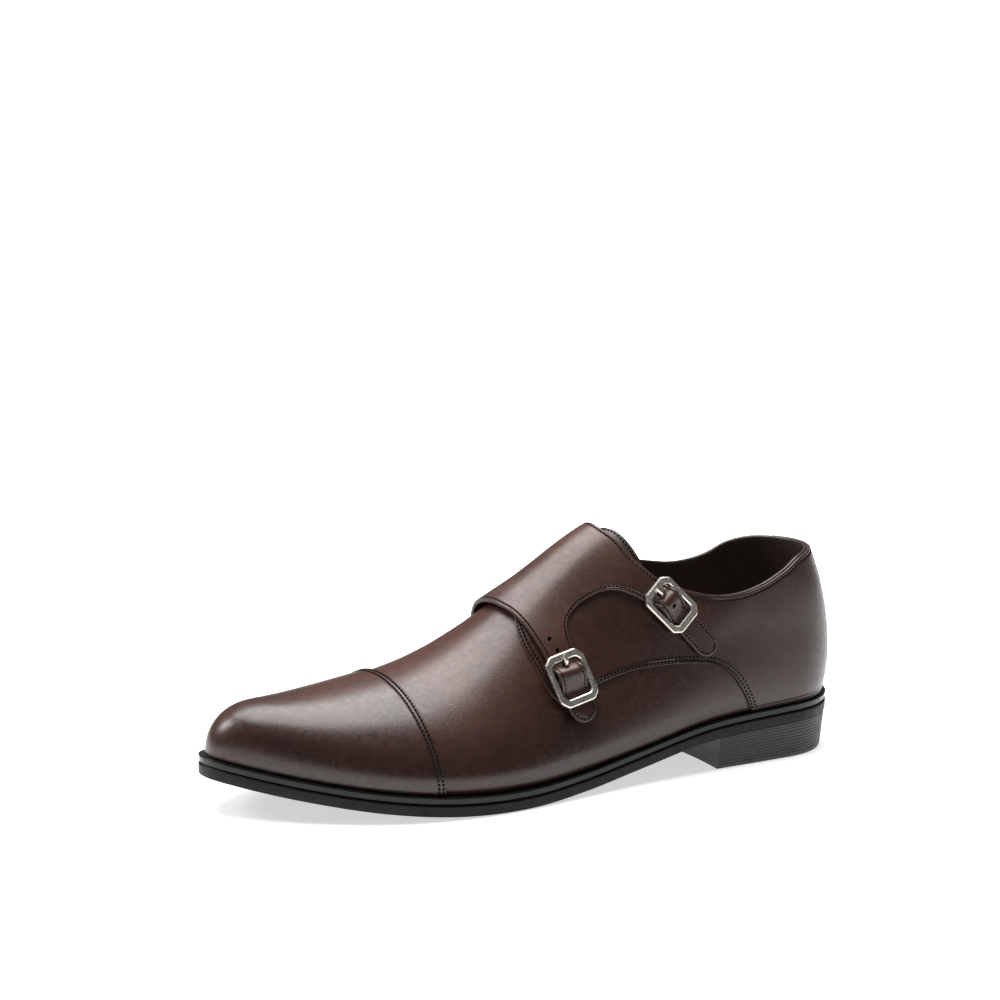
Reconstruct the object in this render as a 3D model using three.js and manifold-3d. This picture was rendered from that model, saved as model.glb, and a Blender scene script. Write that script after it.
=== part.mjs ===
// A man's left double monk strap shoe with a toe cap, size EU 43, standing empty on its sole.
// Millimetres. +X runs from heel to toe, +Y to the outer side of the foot, +Z up. The floor is z = 0.
// The leather follows one function, the last: lastPoint(at, across). "at" is the distance from the
// back of the heel along the shoe. "across" is -1 at the inner feather edge (where upper meets sole),
// 0 along the ridge of the foot and +1 at the outer feather edge.
import * as THREE from "three";
import { mergeVertices } from "three/addons/utils/BufferGeometryUtils.js";
import Module from "manifold-3d";

const wasm = await Module();
wasm.setup();

// ---- driving dimensions -------------------------------------------------------------------------
const LAST_LENGTH = 300; // feather edge, heel to toe
const FIT = 0.3; // gap between pieces that touch
const WALL = 2.2; // upper leather with its lining
const HEEL_ROUND = 34; // length of the round back of the last, seen from above
const HEEL_SQUARE = 2.3; // 2 is an ellipse, more is squarer
const TOE_ROUND = 78; // length of the tapering toe, seen from above
const TOE_SQUARE = 2.2;
const NOSE_ROUND = 26; // length over which the toe comes down to the feather
const NOSE_SQUARE = 2.7;
const BELLY_UP = 9; // height over the feather where the side bulges most
const BELLY_OVER = 40; // height where that bulge has died out
const BACK_ZONE = 90; // the back curve fades out over this length

// Sections of the last, one row for each place along it.
// axis: sideways place of the sole's middle line. half: half the width at the feather edge.
// feather, ridge: heights over the floor. crest: sideways place of the ridge.
// full: how far the shoulder swells past an ellipse. belly: bulge low on the side.
const LAST = table(["at", "axis", "half", "feather", "ridge", "crest", "full", "belly"], [
  [0, 0.0, 30.0, 26.0, 128.0, 0.0, 0.55, 1.0],
  [40, 0.5, 31.5, 25.0, 124.0, 0.0, 0.5, 1.6],
  [80, 2.5, 31.0, 22.5, 116.0, -1.0, 0.3, 2.0],
  [120, 4.5, 32.0, 15.5, 107.0, -4.0, 0.05, 2.5],
  [150, 3.5, 36.5, 11.0, 88.3, -6.0, -0.05, 3.0],
  [180, 1.0, 43.0, 9.0, 68.1, -7.0, 0.0, 3.0],
  [210, -1.5, 44.5, 9.5, 54.4, -8.0, 0.08, 2.5],
  [240, -4.5, 40.5, 12.5, 48.1, -9.0, 0.15, 2.0],
  [270, -9.0, 34.0, 17.5, 44.6, -11.0, 0.2, 1.5],
  [300, -14.0, 27.0, 24.0, 44.5, -14.0, 0.2, 1.0],
]);

// The back of the last seen from the side: how far it leans forward at a height over the feather.
const BACK = table(["up", "lean"], [
  [0, 0],
  [18, -2.4],
  [35, -1.2],
  [50, 2.6],
  [65, 8.6],
  [110, 25],
]);

// Height of the collar's edge over the floor on each side, from the back to the top of the throat.
const COLLAR = table(["at", "outer", "inner"], [
  [0, 93.6, 93.6],
  [10, 93, 92.6],
  [22, 91.2, 89.6],
  [34, 86.2, 85],
  [48, 81, 82.4],
  [60, 78.2, 82.2],
  [72, 77.5, 83.8],
  [92, 82, 87.6],
  [112, 91, 92.8],
]);
const THROAT_TOP = 112; // the collar turns into the throat under the flap here
const THROAT_TIP = 162; // and the throat closes here
const THROAT_CLOSE = 4; // an extra column this far before, where its edges run together

// The edge of the sole: how far it stands out past the feather edge.
const SOLE_EDGE = table(["at", "out"], [
  [0, 2.8],
  [60, 2.6],
  [110, 1.8],
  [150, 2.4],
  [200, 3.4],
  [300, 3.8],
]);
const WELT_THICK = 3; // welt and midsole
const OUTSOLE_THICK = 5;
const SOLE_INSET = 0.4; // the outsole's lower edge and the heel stand in by this much
const SOLE_CROWN = 1.6; // the forepart's underside is this much lower in the middle than at its edge
const CROWN_FROM = 100;
const CROWN_FULL = 150;
const HEEL_LENGTH = 75;
const HEEL_HOLLOW = 2.5; // the breast of the heel curves in by this much
const HEEL_TAPER = 1.5; // the heel is this much narrower all round at the floor
const HEEL_BEVEL = 1.5; // lift of its back edge
const BEVEL_LENGTH = 18;
const INSOLE_THICK = 2.5;
const INSOLE_GAP = 0.6; // insole to the upper's inner face

const CAP_EDGE = 223; // back edge of the toe cap on the ridge
const CAP_SWEEP = 4; // that edge is this much nearer the heel at the feather
const CAP_THICK = 1.1;
const BACKSTAY_TOP = 15; // half width of the strip down the back seam, at the collar
const BACKSTAY_FOOT = 11; // and at the sole
const BACKSTAY_THICK = 0.9;
const BACKSTAY_SIDES = 5; // columns on each side of the back seam

const TONGUE_TOP = 113.5; // its top edge on the ridge, a little behind the flap's
const TONGUE_FOOT = 172;
const TONGUE_WIDE = 0.45; // its sides, as a place across the last
const TONGUE_SLOPE = 8.5; // its top edge falls back this far at its sides
const TONGUE_BEND = 1.3; // 1 is a straight slope, more is rounder on the ridge
const TONGUE_THICK = 1.6;
const TONGUE_GAP = 0.9;

// The flap, cut flat and then bent over the last: one row for each line across it, from its rear
// edge through its middle to its front edge. "at" is the place along the shoe, "girth" the distance
// from the ridge round the foot, outer side positive. The first row is its sewn-down inner end and
// the last one passes through the top of the arch between the two strap legs.
const FLAP = panelTable(["rearAt", "rearGirth", "midAt", "midGirth", "frontAt", "frontGirth"], [
  [145.5, -64.5, 148.5, -65, 151.5, -64.5],
  [140.5, -61, 148, -61.5, 155, -60.5],
  [126, -47, 143.5, -47.5, 160.5, -47],
  [111.5, -33, 138.2, -33, 164.5, -33],
  [115.4, -20, 141.2, -20, 167, -20],
  [119, -7, 143.9, -7, 168.8, -7],
  [119.7, 5, 144.2, 5, 168.6, 5],
  [116.6, 14, 141.8, 14.5, 167, 14],
  [114.3, 21, 140, 22.5, 165.6, 22],
  [111.4, 26.5, 138.3, 29.3, 164.4, 29],
]);
// Lines across the top of each leg, below the arch's top; the straight strap follows them.
const LEG_TOPS = {
  front: panelTable(["rearAt", "rearGirth", "frontAt", "frontGirth"], [
    [138.3, 29.3, 164.4, 29],
    [144.5, 30, 163.9, 32.2],
    [148.6, 34.5, 162.9, 37],
  ]),
  rear: panelTable(["rearAt", "rearGirth", "frontAt", "frontGirth"], [
    [111.4, 26.5, 138.3, 29.3],
    [108.9, 30, 128.5, 31.4],
    [105.6, 34.4, 120, 36.8],
  ]),
};
const FLAP_THICK = 1.8;
const FLAP_GAP = 0.5; // its underside over the leather it lies on
const FLAP_STAND = 1.5; // its front edge stands this much higher
const STAND_FROM = 150; // the rise begins here along the shoe
const STAND_FULL = 170;
const STAND_ENDS = [-58, 38]; // girths beyond which it dies out, toward the seam and the strap
const STAND_FADE = 14;
const FLAP_COLUMNS = 4; // in each half
const FLAP_SPLIT = 2; // facets between one row of the table and the next
const STRAP_STEP = 3.2; // spacing of facets along a strap
const TIP_FACETS = 3; // rows in a strap's round tip

// The buckles. at, girth: the middle of the frame. toAt, toGirth: a place further up the strap.
const BUCKLES = [
  {
    name: "front",
    at: 153.6,
    girth: 54.4,
    toAt: 155.5,
    toGirth: 44.7,
    width: 20,
    length: 23.5,
    strapHalf: 6.7,
    strapTip: 19.6,
  },
  {
    name: "rear",
    at: 100,
    girth: 49.8,
    toAt: 105.9,
    toGirth: 41.9,
    width: 17.5,
    length: 23.9,
    strapHalf: 5.7,
    strapTip: 30.3,
  },
];
const FRAME_BAR = 2.7; // width of the frame's sides
const FRAME_END = 3.5; // width of its ends
const FRAME_DEEP = 1.5;
const FRAME_LIFT = 3.5; // its underside over the quarter
const FRAME_CUT = 3.2; // its cut corners
const FRAME_BEVEL = 0.25;
const BAR_RADIUS = 0.6; // the bar across the middle
const BAR_HEIGHT = 3; // its middle over the quarter
const PRONG_RADIUS = 0.75;
const PRONG_EYE = 1.5; // outer radius of its eye round the bar
const STRAP_HUMP = 5.6; // height of the strap's underside where it stands highest
const HUMP_UP = 2.2; // that place, up the strap from the bar
const HUMP_ABOVE = 6; // it comes down again over this distance toward the upper end of the frame
const HUMP_BELOW = 10.6; // and over this one toward the lower end
const SLOT_WIDE = 2.8; // prong's hole through the strap
const SLOT_LOW = 2;
const SLOT_HIGH = 5.8;
const SLOT_DEEP = 20;
const TAB_THICK = 0.5;
const TAB_LONG = 13; // from the bar down under the strap's tip
const TAB_CLEAR = 1.4; // the strap's underside over that tail
const TAB_REACH = 8.6; // it rises to that over this distance below the bar
const TAB_SIDE = 1; // gap between the tab and each side of the frame
const SLIT_SPARE = 1; // the slit for the prong is cut this much past the loop

// The prong's middle line. way: part of the way from the bar to the frame's end. rise: part of the
// height from the bar to the top of the frame.
const PRONG = table(["way", "rise"], [
  [0.1, 0.25],
  [0.2, 0.4],
  [0.35, 0.66],
  [0.62, 1.05],
  [1, 1],
  [1.15, 0.97],
]);

// Facets: columns along the shoe and rows round it.
const COLUMNS = 40;
const ROWS = 14;
const SOLE_COLUMNS = 40;
const TREAD_ROWS = 6;
const CAP_COLUMNS = 12;
const CAP_ROWS = 26;

// The frame's origin is the middle of the shoe's own box on the floor.
const CENTRE_X = 0.09;
const CENTRE_Y = -1.32;

const COLOURS = {
  calf: { color: 0x5a3d33, roughness: 0.38, metalness: 0 },
  calfDark: { color: 0x3a2621, roughness: 0.45, metalness: 0 },
  lining: { color: 0x4a3428, roughness: 0.75, metalness: 0 },
  rubber: { color: 0x1b1b1c, roughness: 0.5, metalness: 0 },
  nickel: { color: 0x9a958c, roughness: 0.35, metalness: 1 },
};

// ---- tables and curves --------------------------------------------------------------------------
function table(columns, rows) {
  const read = {};
  const places = rows.map((row) => row[0]);
  columns.forEach((name, k) => {
    read[name] = smoothCurve(places, rows.map((row) => row[k]));
  });
  return { rows: rows.map((row) => Object.fromEntries(row.map((v, k) => [columns[k], v]))), read };
}

// A table whose rows are lines across a panel. Its columns are read at a row number.
function panelTable(columns, rows) {
  const numbered = rows.map((row, i) => [i, ...row]);
  return table(["row", ...columns], numbered);
}

// A smooth curve through values given at places that increase.
function smoothCurve(places, values) {
  const last = places.length - 1;
  const slope = places.map((x, i) => {
    if (i === 0) return (values[1] - values[0]) / (places[1] - places[0]);
    if (i === last) return (values[i] - values[i - 1]) / (places[i] - places[i - 1]);
    const before = x - places[i - 1];
    const after = places[i + 1] - x;
    const back = (values[i] - values[i - 1]) / before;
    const ahead = (values[i + 1] - values[i]) / after;
    return (back * after + ahead * before) / (before + after);
  });
  return (x) => {
    const held = Math.min(Math.max(x, places[0]), places[last]);
    let i = 0;
    while (i < last - 1 && held > places[i + 1]) i += 1;
    const h = places[i + 1] - places[i];
    const t = (held - places[i]) / h;
    const rise = values[i + 1] - values[i];
    const bow = t * (1 - t) * ((1 - t) * (slope[i] * h - rise) - t * (slope[i + 1] * h - rise));
    return values[i] + rise * t + bow;
  };
}

function clamp01(t) {
  return Math.min(Math.max(t, 0), 1);
}

function ease(t) {
  const held = clamp01(t);
  return held * held * (3 - 2 * held);
}

function superRound(t, power) {
  return Math.sqrt(Math.max(1 - clamp01(t) ** power, 0));
}

// Places from 0 to length that crowd together at both ends, where the plan is round.
function crowded(count, length) {
  return Array.from({ length: count + 1 }, (_, i) => (length * (1 - Math.cos((Math.PI * i) / count))) / 2);
}

// ---- the last -----------------------------------------------------------------------------------
function planRound(at) {
  const heel = superRound(1 - at / HEEL_ROUND, HEEL_SQUARE);
  const toe = superRound((at - LAST_LENGTH + TOE_ROUND) / TOE_ROUND, TOE_SQUARE);
  return heel * toe;
}

function bellyAt(up) {
  if (up < BELLY_UP) return Math.sin((Math.PI * up) / 2 / BELLY_UP);
  return Math.cos((Math.PI / 2) * clamp01((up - BELLY_UP) / (BELLY_OVER - BELLY_UP))) ** 2;
}

function sectionHeight(at) {
  const nose = superRound((at - LAST_LENGTH + NOSE_ROUND) / NOSE_ROUND, NOSE_SQUARE);
  return (LAST.read.ridge(at) - LAST.read.feather(at)) * nose;
}

function lastPoint(at, across) {
  const turn = ((1 - Math.abs(across)) * Math.PI) / 2;
  const rise = Math.sin(turn);
  const flat = Math.cos(turn);
  const up = sectionHeight(at) * rise;
  const swell = LAST.read.half(at) * (1 + LAST.read.full(at) * rise * rise);
  const reach = flat * (swell + LAST.read.belly(at) * bellyAt(up));
  const middle = LAST.read.axis(at) * (1 - rise) + LAST.read.crest(at) * rise;
  const lean = BACK.read.lean(up) * (1 - ease(at / BACK_ZONE));
  return new THREE.Vector3(
    at - LAST_LENGTH / 2 + lean,
    middle + Math.sign(across) * planRound(at) * reach,
    LAST.read.feather(at) + up,
  );
}

// The outward direction. It lies in the middle plane at the back seam and level at the feather.
function lastNormal(at, across) {
  if (at > LAST_LENGTH - 1e-6) return new THREE.Vector3(1, 0, 0);
  const step = 0.05;
  const held = Math.min(Math.max(at, 12 * step), LAST_LENGTH - 4 * step);
  const turn = 2e-4;
  const place = at < 1e-6 ? Math.abs(across) : across;
  const ahead = lastPoint(held + step, place).sub(lastPoint(held - step, place));
  const round = lastPoint(held, Math.min(place + turn, 1)).sub(lastPoint(held, Math.max(place - turn, -1)));
  const out = ahead.cross(round);
  if (at < 1e-6) out.y = 0;
  if (Math.abs(across) > 1 - 1e-9) out.z = 0;
  return out.normalize();
}

function skin(at, across, offset) {
  return lastPoint(at, across).addScaledVector(lastNormal(at, across), offset);
}

// The place across the last at a distance from the ridge, measured round the section.
function acrossAtGirth(at, girth) {
  const side = girth < 0 ? -1 : 1;
  const steps = 120;
  let gone = 0;
  let before = lastPoint(at, 0);
  for (let i = 1; i <= steps; i += 1) {
    const here = lastPoint(at, (side * i) / steps);
    const stride = here.distanceTo(before);
    const left = Math.abs(girth) - gone;
    if (stride >= left) return (side * (i - 1 + left / stride)) / steps;
    gone += stride;
    before = here;
  }
  return side;
}

// The distance from the ridge round the section to a place across the last.
function girthAt(at, across) {
  const steps = 60;
  let gone = 0;
  let before = lastPoint(at, 0);
  for (let i = 1; i <= steps; i += 1) {
    const here = lastPoint(at, (across * i) / steps);
    gone += here.distanceTo(before);
    before = here;
  }
  return Math.sign(across) * gone;
}

// The place across the last where its side reaches a height over the floor.
function acrossAtHeight(at, height) {
  const rise = clamp01((height - LAST.read.feather(at)) / sectionHeight(at));
  return 1 - (2 / Math.PI) * Math.asin(rise);
}

// The edge of the opening, collar and throat together, as a place across the last.
function openingEdge(at, side) {
  const column = side > 0 ? "outer" : "inner";
  if (at <= THROAT_TOP) return acrossAtHeight(at, COLLAR.read[column](at));
  const top = acrossAtHeight(THROAT_TOP, COLLAR.read[column](THROAT_TOP));
  return top * superRound((at - THROAT_TOP) / (THROAT_TIP - THROAT_TOP), 2);
}

// ---- closed solids from nets of points ----------------------------------------------------------
class Net {
  constructor() {
    this.corners = [];
  }

  quad(a, b, c, d) {
    this.corners.push(a, b, c, a, c, d);
  }

  // A sheet of points[i][j], facing i x j, or the other way when turned.
  sheet(points, turned = false) {
    for (let i = 0; i + 1 < points.length; i += 1) {
      for (let j = 0; j + 1 < points[i].length; j += 1) {
        const ring = [points[i][j], points[i + 1][j], points[i + 1][j + 1], points[i][j + 1]];
        if (turned) ring.reverse();
        this.quad(...ring);
      }
    }
  }

  geometry() {
    const flat = this.corners.flatMap((p) => [p.x, p.y, p.z]);
    const raw = new THREE.BufferGeometry();
    raw.setAttribute("position", new THREE.BufferAttribute(new Float32Array(flat), 3));
    return welded(raw);
  }
}

// Shared corners are joined and facets without area dropped.
function welded(raw) {
  const merged = mergeVertices(raw, 1e-3);
  const kept = [];
  const index = merged.index.array;
  for (let i = 0; i < index.length; i += 3) {
    const [a, b, c] = index.slice(i, i + 3);
    if (a !== b && b !== c && c !== a) kept.push(a, b, c);
  }
  merged.setIndex(kept);
  return merged;
}

function solidOf(geometry) {
  const bare = geometry.clone();
  bare.deleteAttribute("normal");
  bare.deleteAttribute("uv");
  const shut = welded(bare.index ? bare.toNonIndexed() : bare);
  return new wasm.Manifold(
    new wasm.Mesh({
      numProp: 3,
      vertProperties: shut.attributes.position.array,
      triVerts: new Uint32Array(shut.index.array),
    }),
  );
}

function geometryOf(solid) {
  const made = solid.getMesh();
  const geometry = new THREE.BufferGeometry();
  geometry.setAttribute("position", new THREE.BufferAttribute(made.vertProperties, 3));
  geometry.setIndex(new THREE.BufferAttribute(made.triVerts, 1));
  return geometry;
}

// The four walls that shut the space between an outer and an inner sheet of points.
function rim(net, outer, inner) {
  const last = outer.length - 1;
  const edges = [
    [outer[0], inner[0]],
    [outer.map((row) => row[row.length - 1]), inner.map((row) => row[row.length - 1])],
    [[...outer[last]].reverse(), [...inner[last]].reverse()],
    [outer.map((row) => row[0]).reverse(), inner.map((row) => row[0]).reverse()],
  ];
  edges.forEach(([top, bottom]) => net.sheet([bottom, top]));
}

function between(outer, inner) {
  const net = new Net();
  net.sheet(outer);
  net.sheet(inner, true);
  rim(net, outer, inner);
  return net.geometry();
}

// A patch of leather lying on the last from one offset to another. place(i, j) gives [at, across].
function patch(columns, rows, place, from, to) {
  const sheetAt = (offset) =>
    Array.from({ length: columns + 1 }, (_, i) =>
      Array.from({ length: rows + 1 }, (__, j) => skin(...place(i / columns, j / rows), offset)),
    );
  return between(sheetAt(to), sheetAt(from));
}

// ---- upper --------------------------------------------------------------------------------------
function upperColumns() {
  const evenly = crowded(COLUMNS, LAST_LENGTH);
  const away = (at) => Math.abs(at - THROAT_TIP);
  const nearest = evenly.reduce((best, at) => (away(at) < away(best) ? at : best));
  const columns = evenly.map((at) => (at === nearest ? THROAT_TIP : at));
  columns.push(THROAT_TIP - THROAT_CLOSE);
  return columns.sort((a, b) => a - b);
}

function makeUpper() {
  const net = new Net();
  const columns = upperColumns();
  [-1, 1].forEach((side) => {
    const rowsOf = (offset) =>
      columns.map((at) => {
        const edge = openingEdge(at, side);
        const rows = Array.from({ length: ROWS + 1 }, (_, j) => Math.max(edge, j / ROWS));
        return rows.map((across) => skin(at, side * across, offset));
      });
    const outer = rowsOf(0);
    const inner = rowsOf(-WALL);
    net.sheet(outer, side < 0);
    net.sheet(inner, side > 0);
    const open = columns.findIndex((at) => at >= THROAT_TIP) + 1;
    const edgeOf = (sheet, j, count) => sheet.slice(0, count).map((row) => row[j]);
    net.sheet([edgeOf(outer, 0, open), edgeOf(inner, 0, open)], side < 0);
    net.sheet([edgeOf(outer, ROWS, columns.length), edgeOf(inner, ROWS, columns.length)], side > 0);
  });
  return net.geometry();
}

function makeToeCap() {
  return patch(
    CAP_COLUMNS,
    CAP_ROWS,
    (a, b) => {
      const across = 2 * b - 1;
      const start = CAP_EDGE - CAP_SWEEP * across * across;
      return [start + (LAST_LENGTH - start) * Math.sin((Math.PI * a) / 2), across];
    },
    FIT,
    FIT + CAP_THICK,
  );
}

// The strip over the back seam: columns run from the inner side round the back to the outer side.
function makeBackstay() {
  const round = backArc();
  return patch(
    2 * BACKSTAY_SIDES,
    10,
    (a, b) => {
      const side = 2 * a - 1;
      const half = BACKSTAY_TOP + (BACKSTAY_FOOT - BACKSTAY_TOP) * b;
      const at = round(Math.abs(side) * half);
      const edge = openingEdge(at, side < 0 ? -1 : 1);
      const across = edge + (1 - edge) * b;
      return [at, (side < 0 ? -1 : 1) * across];
    },
    FIT,
    FIT + BACKSTAY_THICK,
  );
}

// Where along the last a distance round its back, measured from the back seam, is reached.
function backArc() {
  const across = 0.8;
  const step = 0.02;
  return (distance) => {
    let gone = 0;
    let at = 0;
    let before = lastPoint(0, across);
    while (gone < distance && at < LAST_LENGTH) {
      at += step;
      const here = lastPoint(at, across);
      gone += here.distanceTo(before);
      before = here;
    }
    return at;
  };
}

function makeTongue() {
  const outside = -(WALL + TONGUE_GAP);
  return patch(
    12,
    10,
    (a, b) => {
      const side = 2 * b - 1;
      const top = TONGUE_TOP - TONGUE_SLOPE * Math.abs(side) ** TONGUE_BEND;
      return [top + (TONGUE_FOOT - top) * a, side * TONGUE_WIDE];
    },
    outside - TONGUE_THICK,
    outside,
  );
}

// ---- sole ---------------------------------------------------------------------------------------
// A point of the feather's plan, moved outward by "out".
function planPoint(at, side, out) {
  const step = 0.05;
  const held = Math.min(Math.max(at, 2 * step), LAST_LENGTH - 2 * step);
  const spot = lastPoint(at, side);
  const along = lastPoint(held + step, side).sub(lastPoint(held - step, side));
  const outward = new THREE.Vector2(-along.y * side, along.x * side);
  if (at < 1e-6) outward.set(-1, 0);
  if (at > LAST_LENGTH - 1e-6) outward.set(1, 0);
  outward.normalize().multiplyScalar(out);
  return new THREE.Vector2(spot.x + outward.x, spot.y + outward.y);
}

// A layer under the foot between two surfaces. shape(a, b) gives the place along the shoe, the
// outward reach at the top and at the bottom, and the two heights.
function layer(columns, rows, shape) {
  const sheetAt = (top) =>
    Array.from({ length: columns + 1 }, (_, i) =>
      Array.from({ length: rows + 1 }, (__, j) => {
        const across = (2 * j) / rows - 1;
        const { at, outTop, outBottom, high, low } = shape(i / columns, across);
        const out = top ? outTop : outBottom;
        const inner = planPoint(at, -1, out);
        const spot = inner.lerp(planPoint(at, 1, out), (across + 1) / 2);
        return new THREE.Vector3(spot.x, spot.y, top ? high : low);
      }),
    );
  return between(sheetAt(true), sheetAt(false));
}

function alongLast(a) {
  return (LAST_LENGTH * (1 - Math.cos(Math.PI * a))) / 2;
}

function makeWelt() {
  return layer(SOLE_COLUMNS, 2, (a) => {
    const at = alongLast(a);
    const out = SOLE_EDGE.read.out(at);
    const high = LAST.read.feather(at) - FIT;
    return { at, outTop: out, outBottom: out, high, low: high - WELT_THICK };
  });
}

// Underside of the outsole: it dips in the middle of the forepart and is cut flat at the floor.
function treadHeight(at, across) {
  const zone = ease((at - CROWN_FROM) / (CROWN_FULL - CROWN_FROM)) * planRound(at);
  const dip = SOLE_CROWN * zone * (1 - across * across);
  return Math.max(0, LAST.read.feather(at) - 2 * FIT - WELT_THICK - OUTSOLE_THICK - dip);
}

function makeOutsole() {
  return layer(SOLE_COLUMNS, TREAD_ROWS, (a, across) => {
    const at = alongLast(a);
    const out = SOLE_EDGE.read.out(at);
    const high = LAST.read.feather(at) - 2 * FIT - WELT_THICK;
    return { at, outTop: out, outBottom: out - SOLE_INSET, high, low: treadHeight(at, across) };
  });
}

function makeHeel() {
  return layer(16, 6, (a, across) => {
    const front = HEEL_LENGTH - HEEL_HOLLOW * (1 - across * across);
    const at = front * (1 - Math.cos((Math.PI * a) / 2));
    const out = SOLE_EDGE.read.out(at) - SOLE_INSET;
    const low = HEEL_BEVEL * Math.max(0, 1 - at / BEVEL_LENGTH) ** 2;
    return { at, outTop: out, outBottom: out - HEEL_TAPER, high: treadHeight(at, 1) - FIT, low };
  });
}

function makeInsole() {
  const inside = -(WALL + INSOLE_GAP);
  return layer(40, 2, (a) => {
    const at = alongLast(a);
    const low = LAST.read.feather(at);
    return { at, outTop: inside, outBottom: inside, high: low + INSOLE_THICK, low };
  });
}

// ---- buckles ------------------------------------------------------------------------------------
// A buckle's own axes: x across the strap, y up the strap, z out of the leather.
function buckleFrame(buckle) {
  const middle = acrossAtGirth(buckle.at, buckle.girth);
  const origin = lastPoint(buckle.at, middle);
  const z = lastNormal(buckle.at, middle);
  const strapPoint = (way) => {
    const at = buckle.at + way * (buckle.toAt - buckle.at);
    return lastPoint(at, acrossAtGirth(at, buckle.girth + way * (buckle.toGirth - buckle.girth)));
  };
  const y = strapPoint(1).sub(strapPoint(-1)).normalize();
  z.addScaledVector(y, -z.dot(y)).normalize();
  const x = new THREE.Vector3().crossVectors(y, z);
  return new THREE.Matrix4().makeBasis(x, y, z).setPosition(origin);
}

function cutCornerRing(width, length, cut) {
  const w = width / 2;
  const l = length / 2;
  return [
    [w - cut, -l],
    [w, -l + cut],
    [w, l - cut],
    [w - cut, l],
    [-w + cut, l],
    [-w, l - cut],
    [-w, -l + cut],
    [-w + cut, -l],
  ].map(([x, y]) => new THREE.Vector2(x, y));
}

function makeBuckleFrame(buckle) {
  const outline = new THREE.Shape(cutCornerRing(buckle.width, buckle.length, FRAME_CUT));
  const [wide, high] = [buckle.width - 2 * FRAME_BAR, buckle.length - 2 * FRAME_END];
  outline.holes.push(new THREE.Path(cutCornerRing(wide, high, FRAME_CUT / 2)));
  const sides = new THREE.ExtrudeGeometry(outline, {
    depth: FRAME_DEEP - 2 * FRAME_BEVEL,
    bevelThickness: FRAME_BEVEL,
    bevelSize: FRAME_BEVEL,
    bevelOffset: -FRAME_BEVEL,
    bevelSegments: 1,
  });
  sides.translate(0, 0, FRAME_LIFT + FRAME_BEVEL);
  const bar = new THREE.CylinderGeometry(BAR_RADIUS, BAR_RADIUS, buckle.width - FRAME_BAR, 10);
  bar.rotateZ(Math.PI / 2);
  bar.translate(0, 0, BAR_HEIGHT);
  return geometryOf(solidOf(sides).add(solidOf(bar)));
}

// A leather tab folded round the bar, slit for the prong's eye, its tail lying on the quarter.
function makeBuckleTab(buckle) {
  const hole = BAR_RADIUS + FIT;
  const loop = hole + TAB_THICK;
  const profile = new THREE.Shape();
  profile.absarc(0, BAR_HEIGHT, loop, -Math.PI / 2, Math.PI, false);
  profile.lineTo(-loop - TAB_THICK, FIT + TAB_THICK);
  profile.lineTo(-TAB_LONG, FIT + TAB_THICK);
  profile.lineTo(-TAB_LONG, FIT);
  profile.lineTo(0, FIT);
  const eye = new THREE.Path();
  eye.absarc(0, BAR_HEIGHT, hole, 0, 2 * Math.PI, true);
  profile.holes.push(eye);
  const width = buckle.width - 2 * (FRAME_BAR + TAB_SIDE);
  const tab = new THREE.ExtrudeGeometry(profile, { depth: width, bevelEnabled: false, curveSegments: 7 });
  tab.translate(0, 0, -width / 2);
  tab.applyMatrix4(new THREE.Matrix4().set(0, 0, 1, 0, 1, 0, 0, 0, 0, 1, 0, 0, 0, 0, 0, 1));
  const wide = 2 * (PRONG_RADIUS + FIT);
  const slit = new THREE.BoxGeometry(wide, 2 * (loop + SLIT_SPARE), 2 * loop + SLIT_SPARE);
  slit.translate(0, FIT, BAR_HEIGHT);
  return draped(geometryOf(solidOf(tab).subtract(solidOf(slit))), buckle);
}

function makeProng(buckle) {
  const end = (buckle.length - FRAME_END) / 2;
  const top = FRAME_LIFT + FRAME_DEEP + FIT + PRONG_RADIUS - BAR_HEIGHT;
  const path = new THREE.CatmullRomCurve3(
    PRONG.rows.map(({ way, rise }) => new THREE.Vector3(0, end * way, BAR_HEIGHT + top * rise)),
  );
  const section = new THREE.Shape();
  section.absarc(0, 0, PRONG_RADIUS, 0, 2 * Math.PI, false);
  const shaft = new THREE.ExtrudeGeometry(section, { steps: 14, curveSegments: 4, extrudePath: path });
  const ring = new THREE.Shape();
  ring.absarc(0, 0, PRONG_EYE, 0, 2 * Math.PI, false);
  const bore = new THREE.Path();
  bore.absarc(0, 0, BAR_RADIUS + FIT, 0, 2 * Math.PI, true);
  ring.holes.push(bore);
  const plain = { depth: 2 * PRONG_RADIUS, bevelEnabled: false, curveSegments: 6 };
  const eye = new THREE.ExtrudeGeometry(ring, plain);
  eye.translate(0, 0, -PRONG_RADIUS);
  eye.rotateY(Math.PI / 2);
  eye.translate(0, 0, BAR_HEIGHT);
  return geometryOf(solidOf(shaft).add(solidOf(eye)));
}

// The place on the last under a point of a buckle's plane, and how high over that plane it lies.
function underBuckle(buckle, x, y) {
  const frame = buckleFrame(buckle);
  const [axisX, axisY, axisZ] = [0, 1, 2].map((k) => new THREE.Vector3().setFromMatrixColumn(frame, k));
  const aim = new THREE.Vector3(x, y, 0).applyMatrix4(frame);
  const miss = (at, across) => {
    const gap = lastPoint(at, across).sub(aim);
    return [gap.dot(axisX), gap.dot(axisY)];
  };
  const [stepAt, stepAcross] = [0.01, 1e-4];
  let at = buckle.at;
  let across = acrossAtGirth(buckle.at, buckle.girth);
  for (let i = 0; i < 12; i += 1) {
    const [x0, y0] = miss(at, across);
    const [x1, y1] = miss(at + stepAt, across).map((v, k) => (v - [x0, y0][k]) / stepAt);
    const [x2, y2] = miss(at, across + stepAcross).map((v, k) => (v - [x0, y0][k]) / stepAcross);
    const area = x1 * y2 - x2 * y1;
    at -= (x0 * y2 - x2 * y0) / area;
    across -= (x1 * y0 - x0 * y1) / area;
  }
  return { at, across, height: lastPoint(at, across).sub(aim).dot(axisZ) };
}

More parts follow.
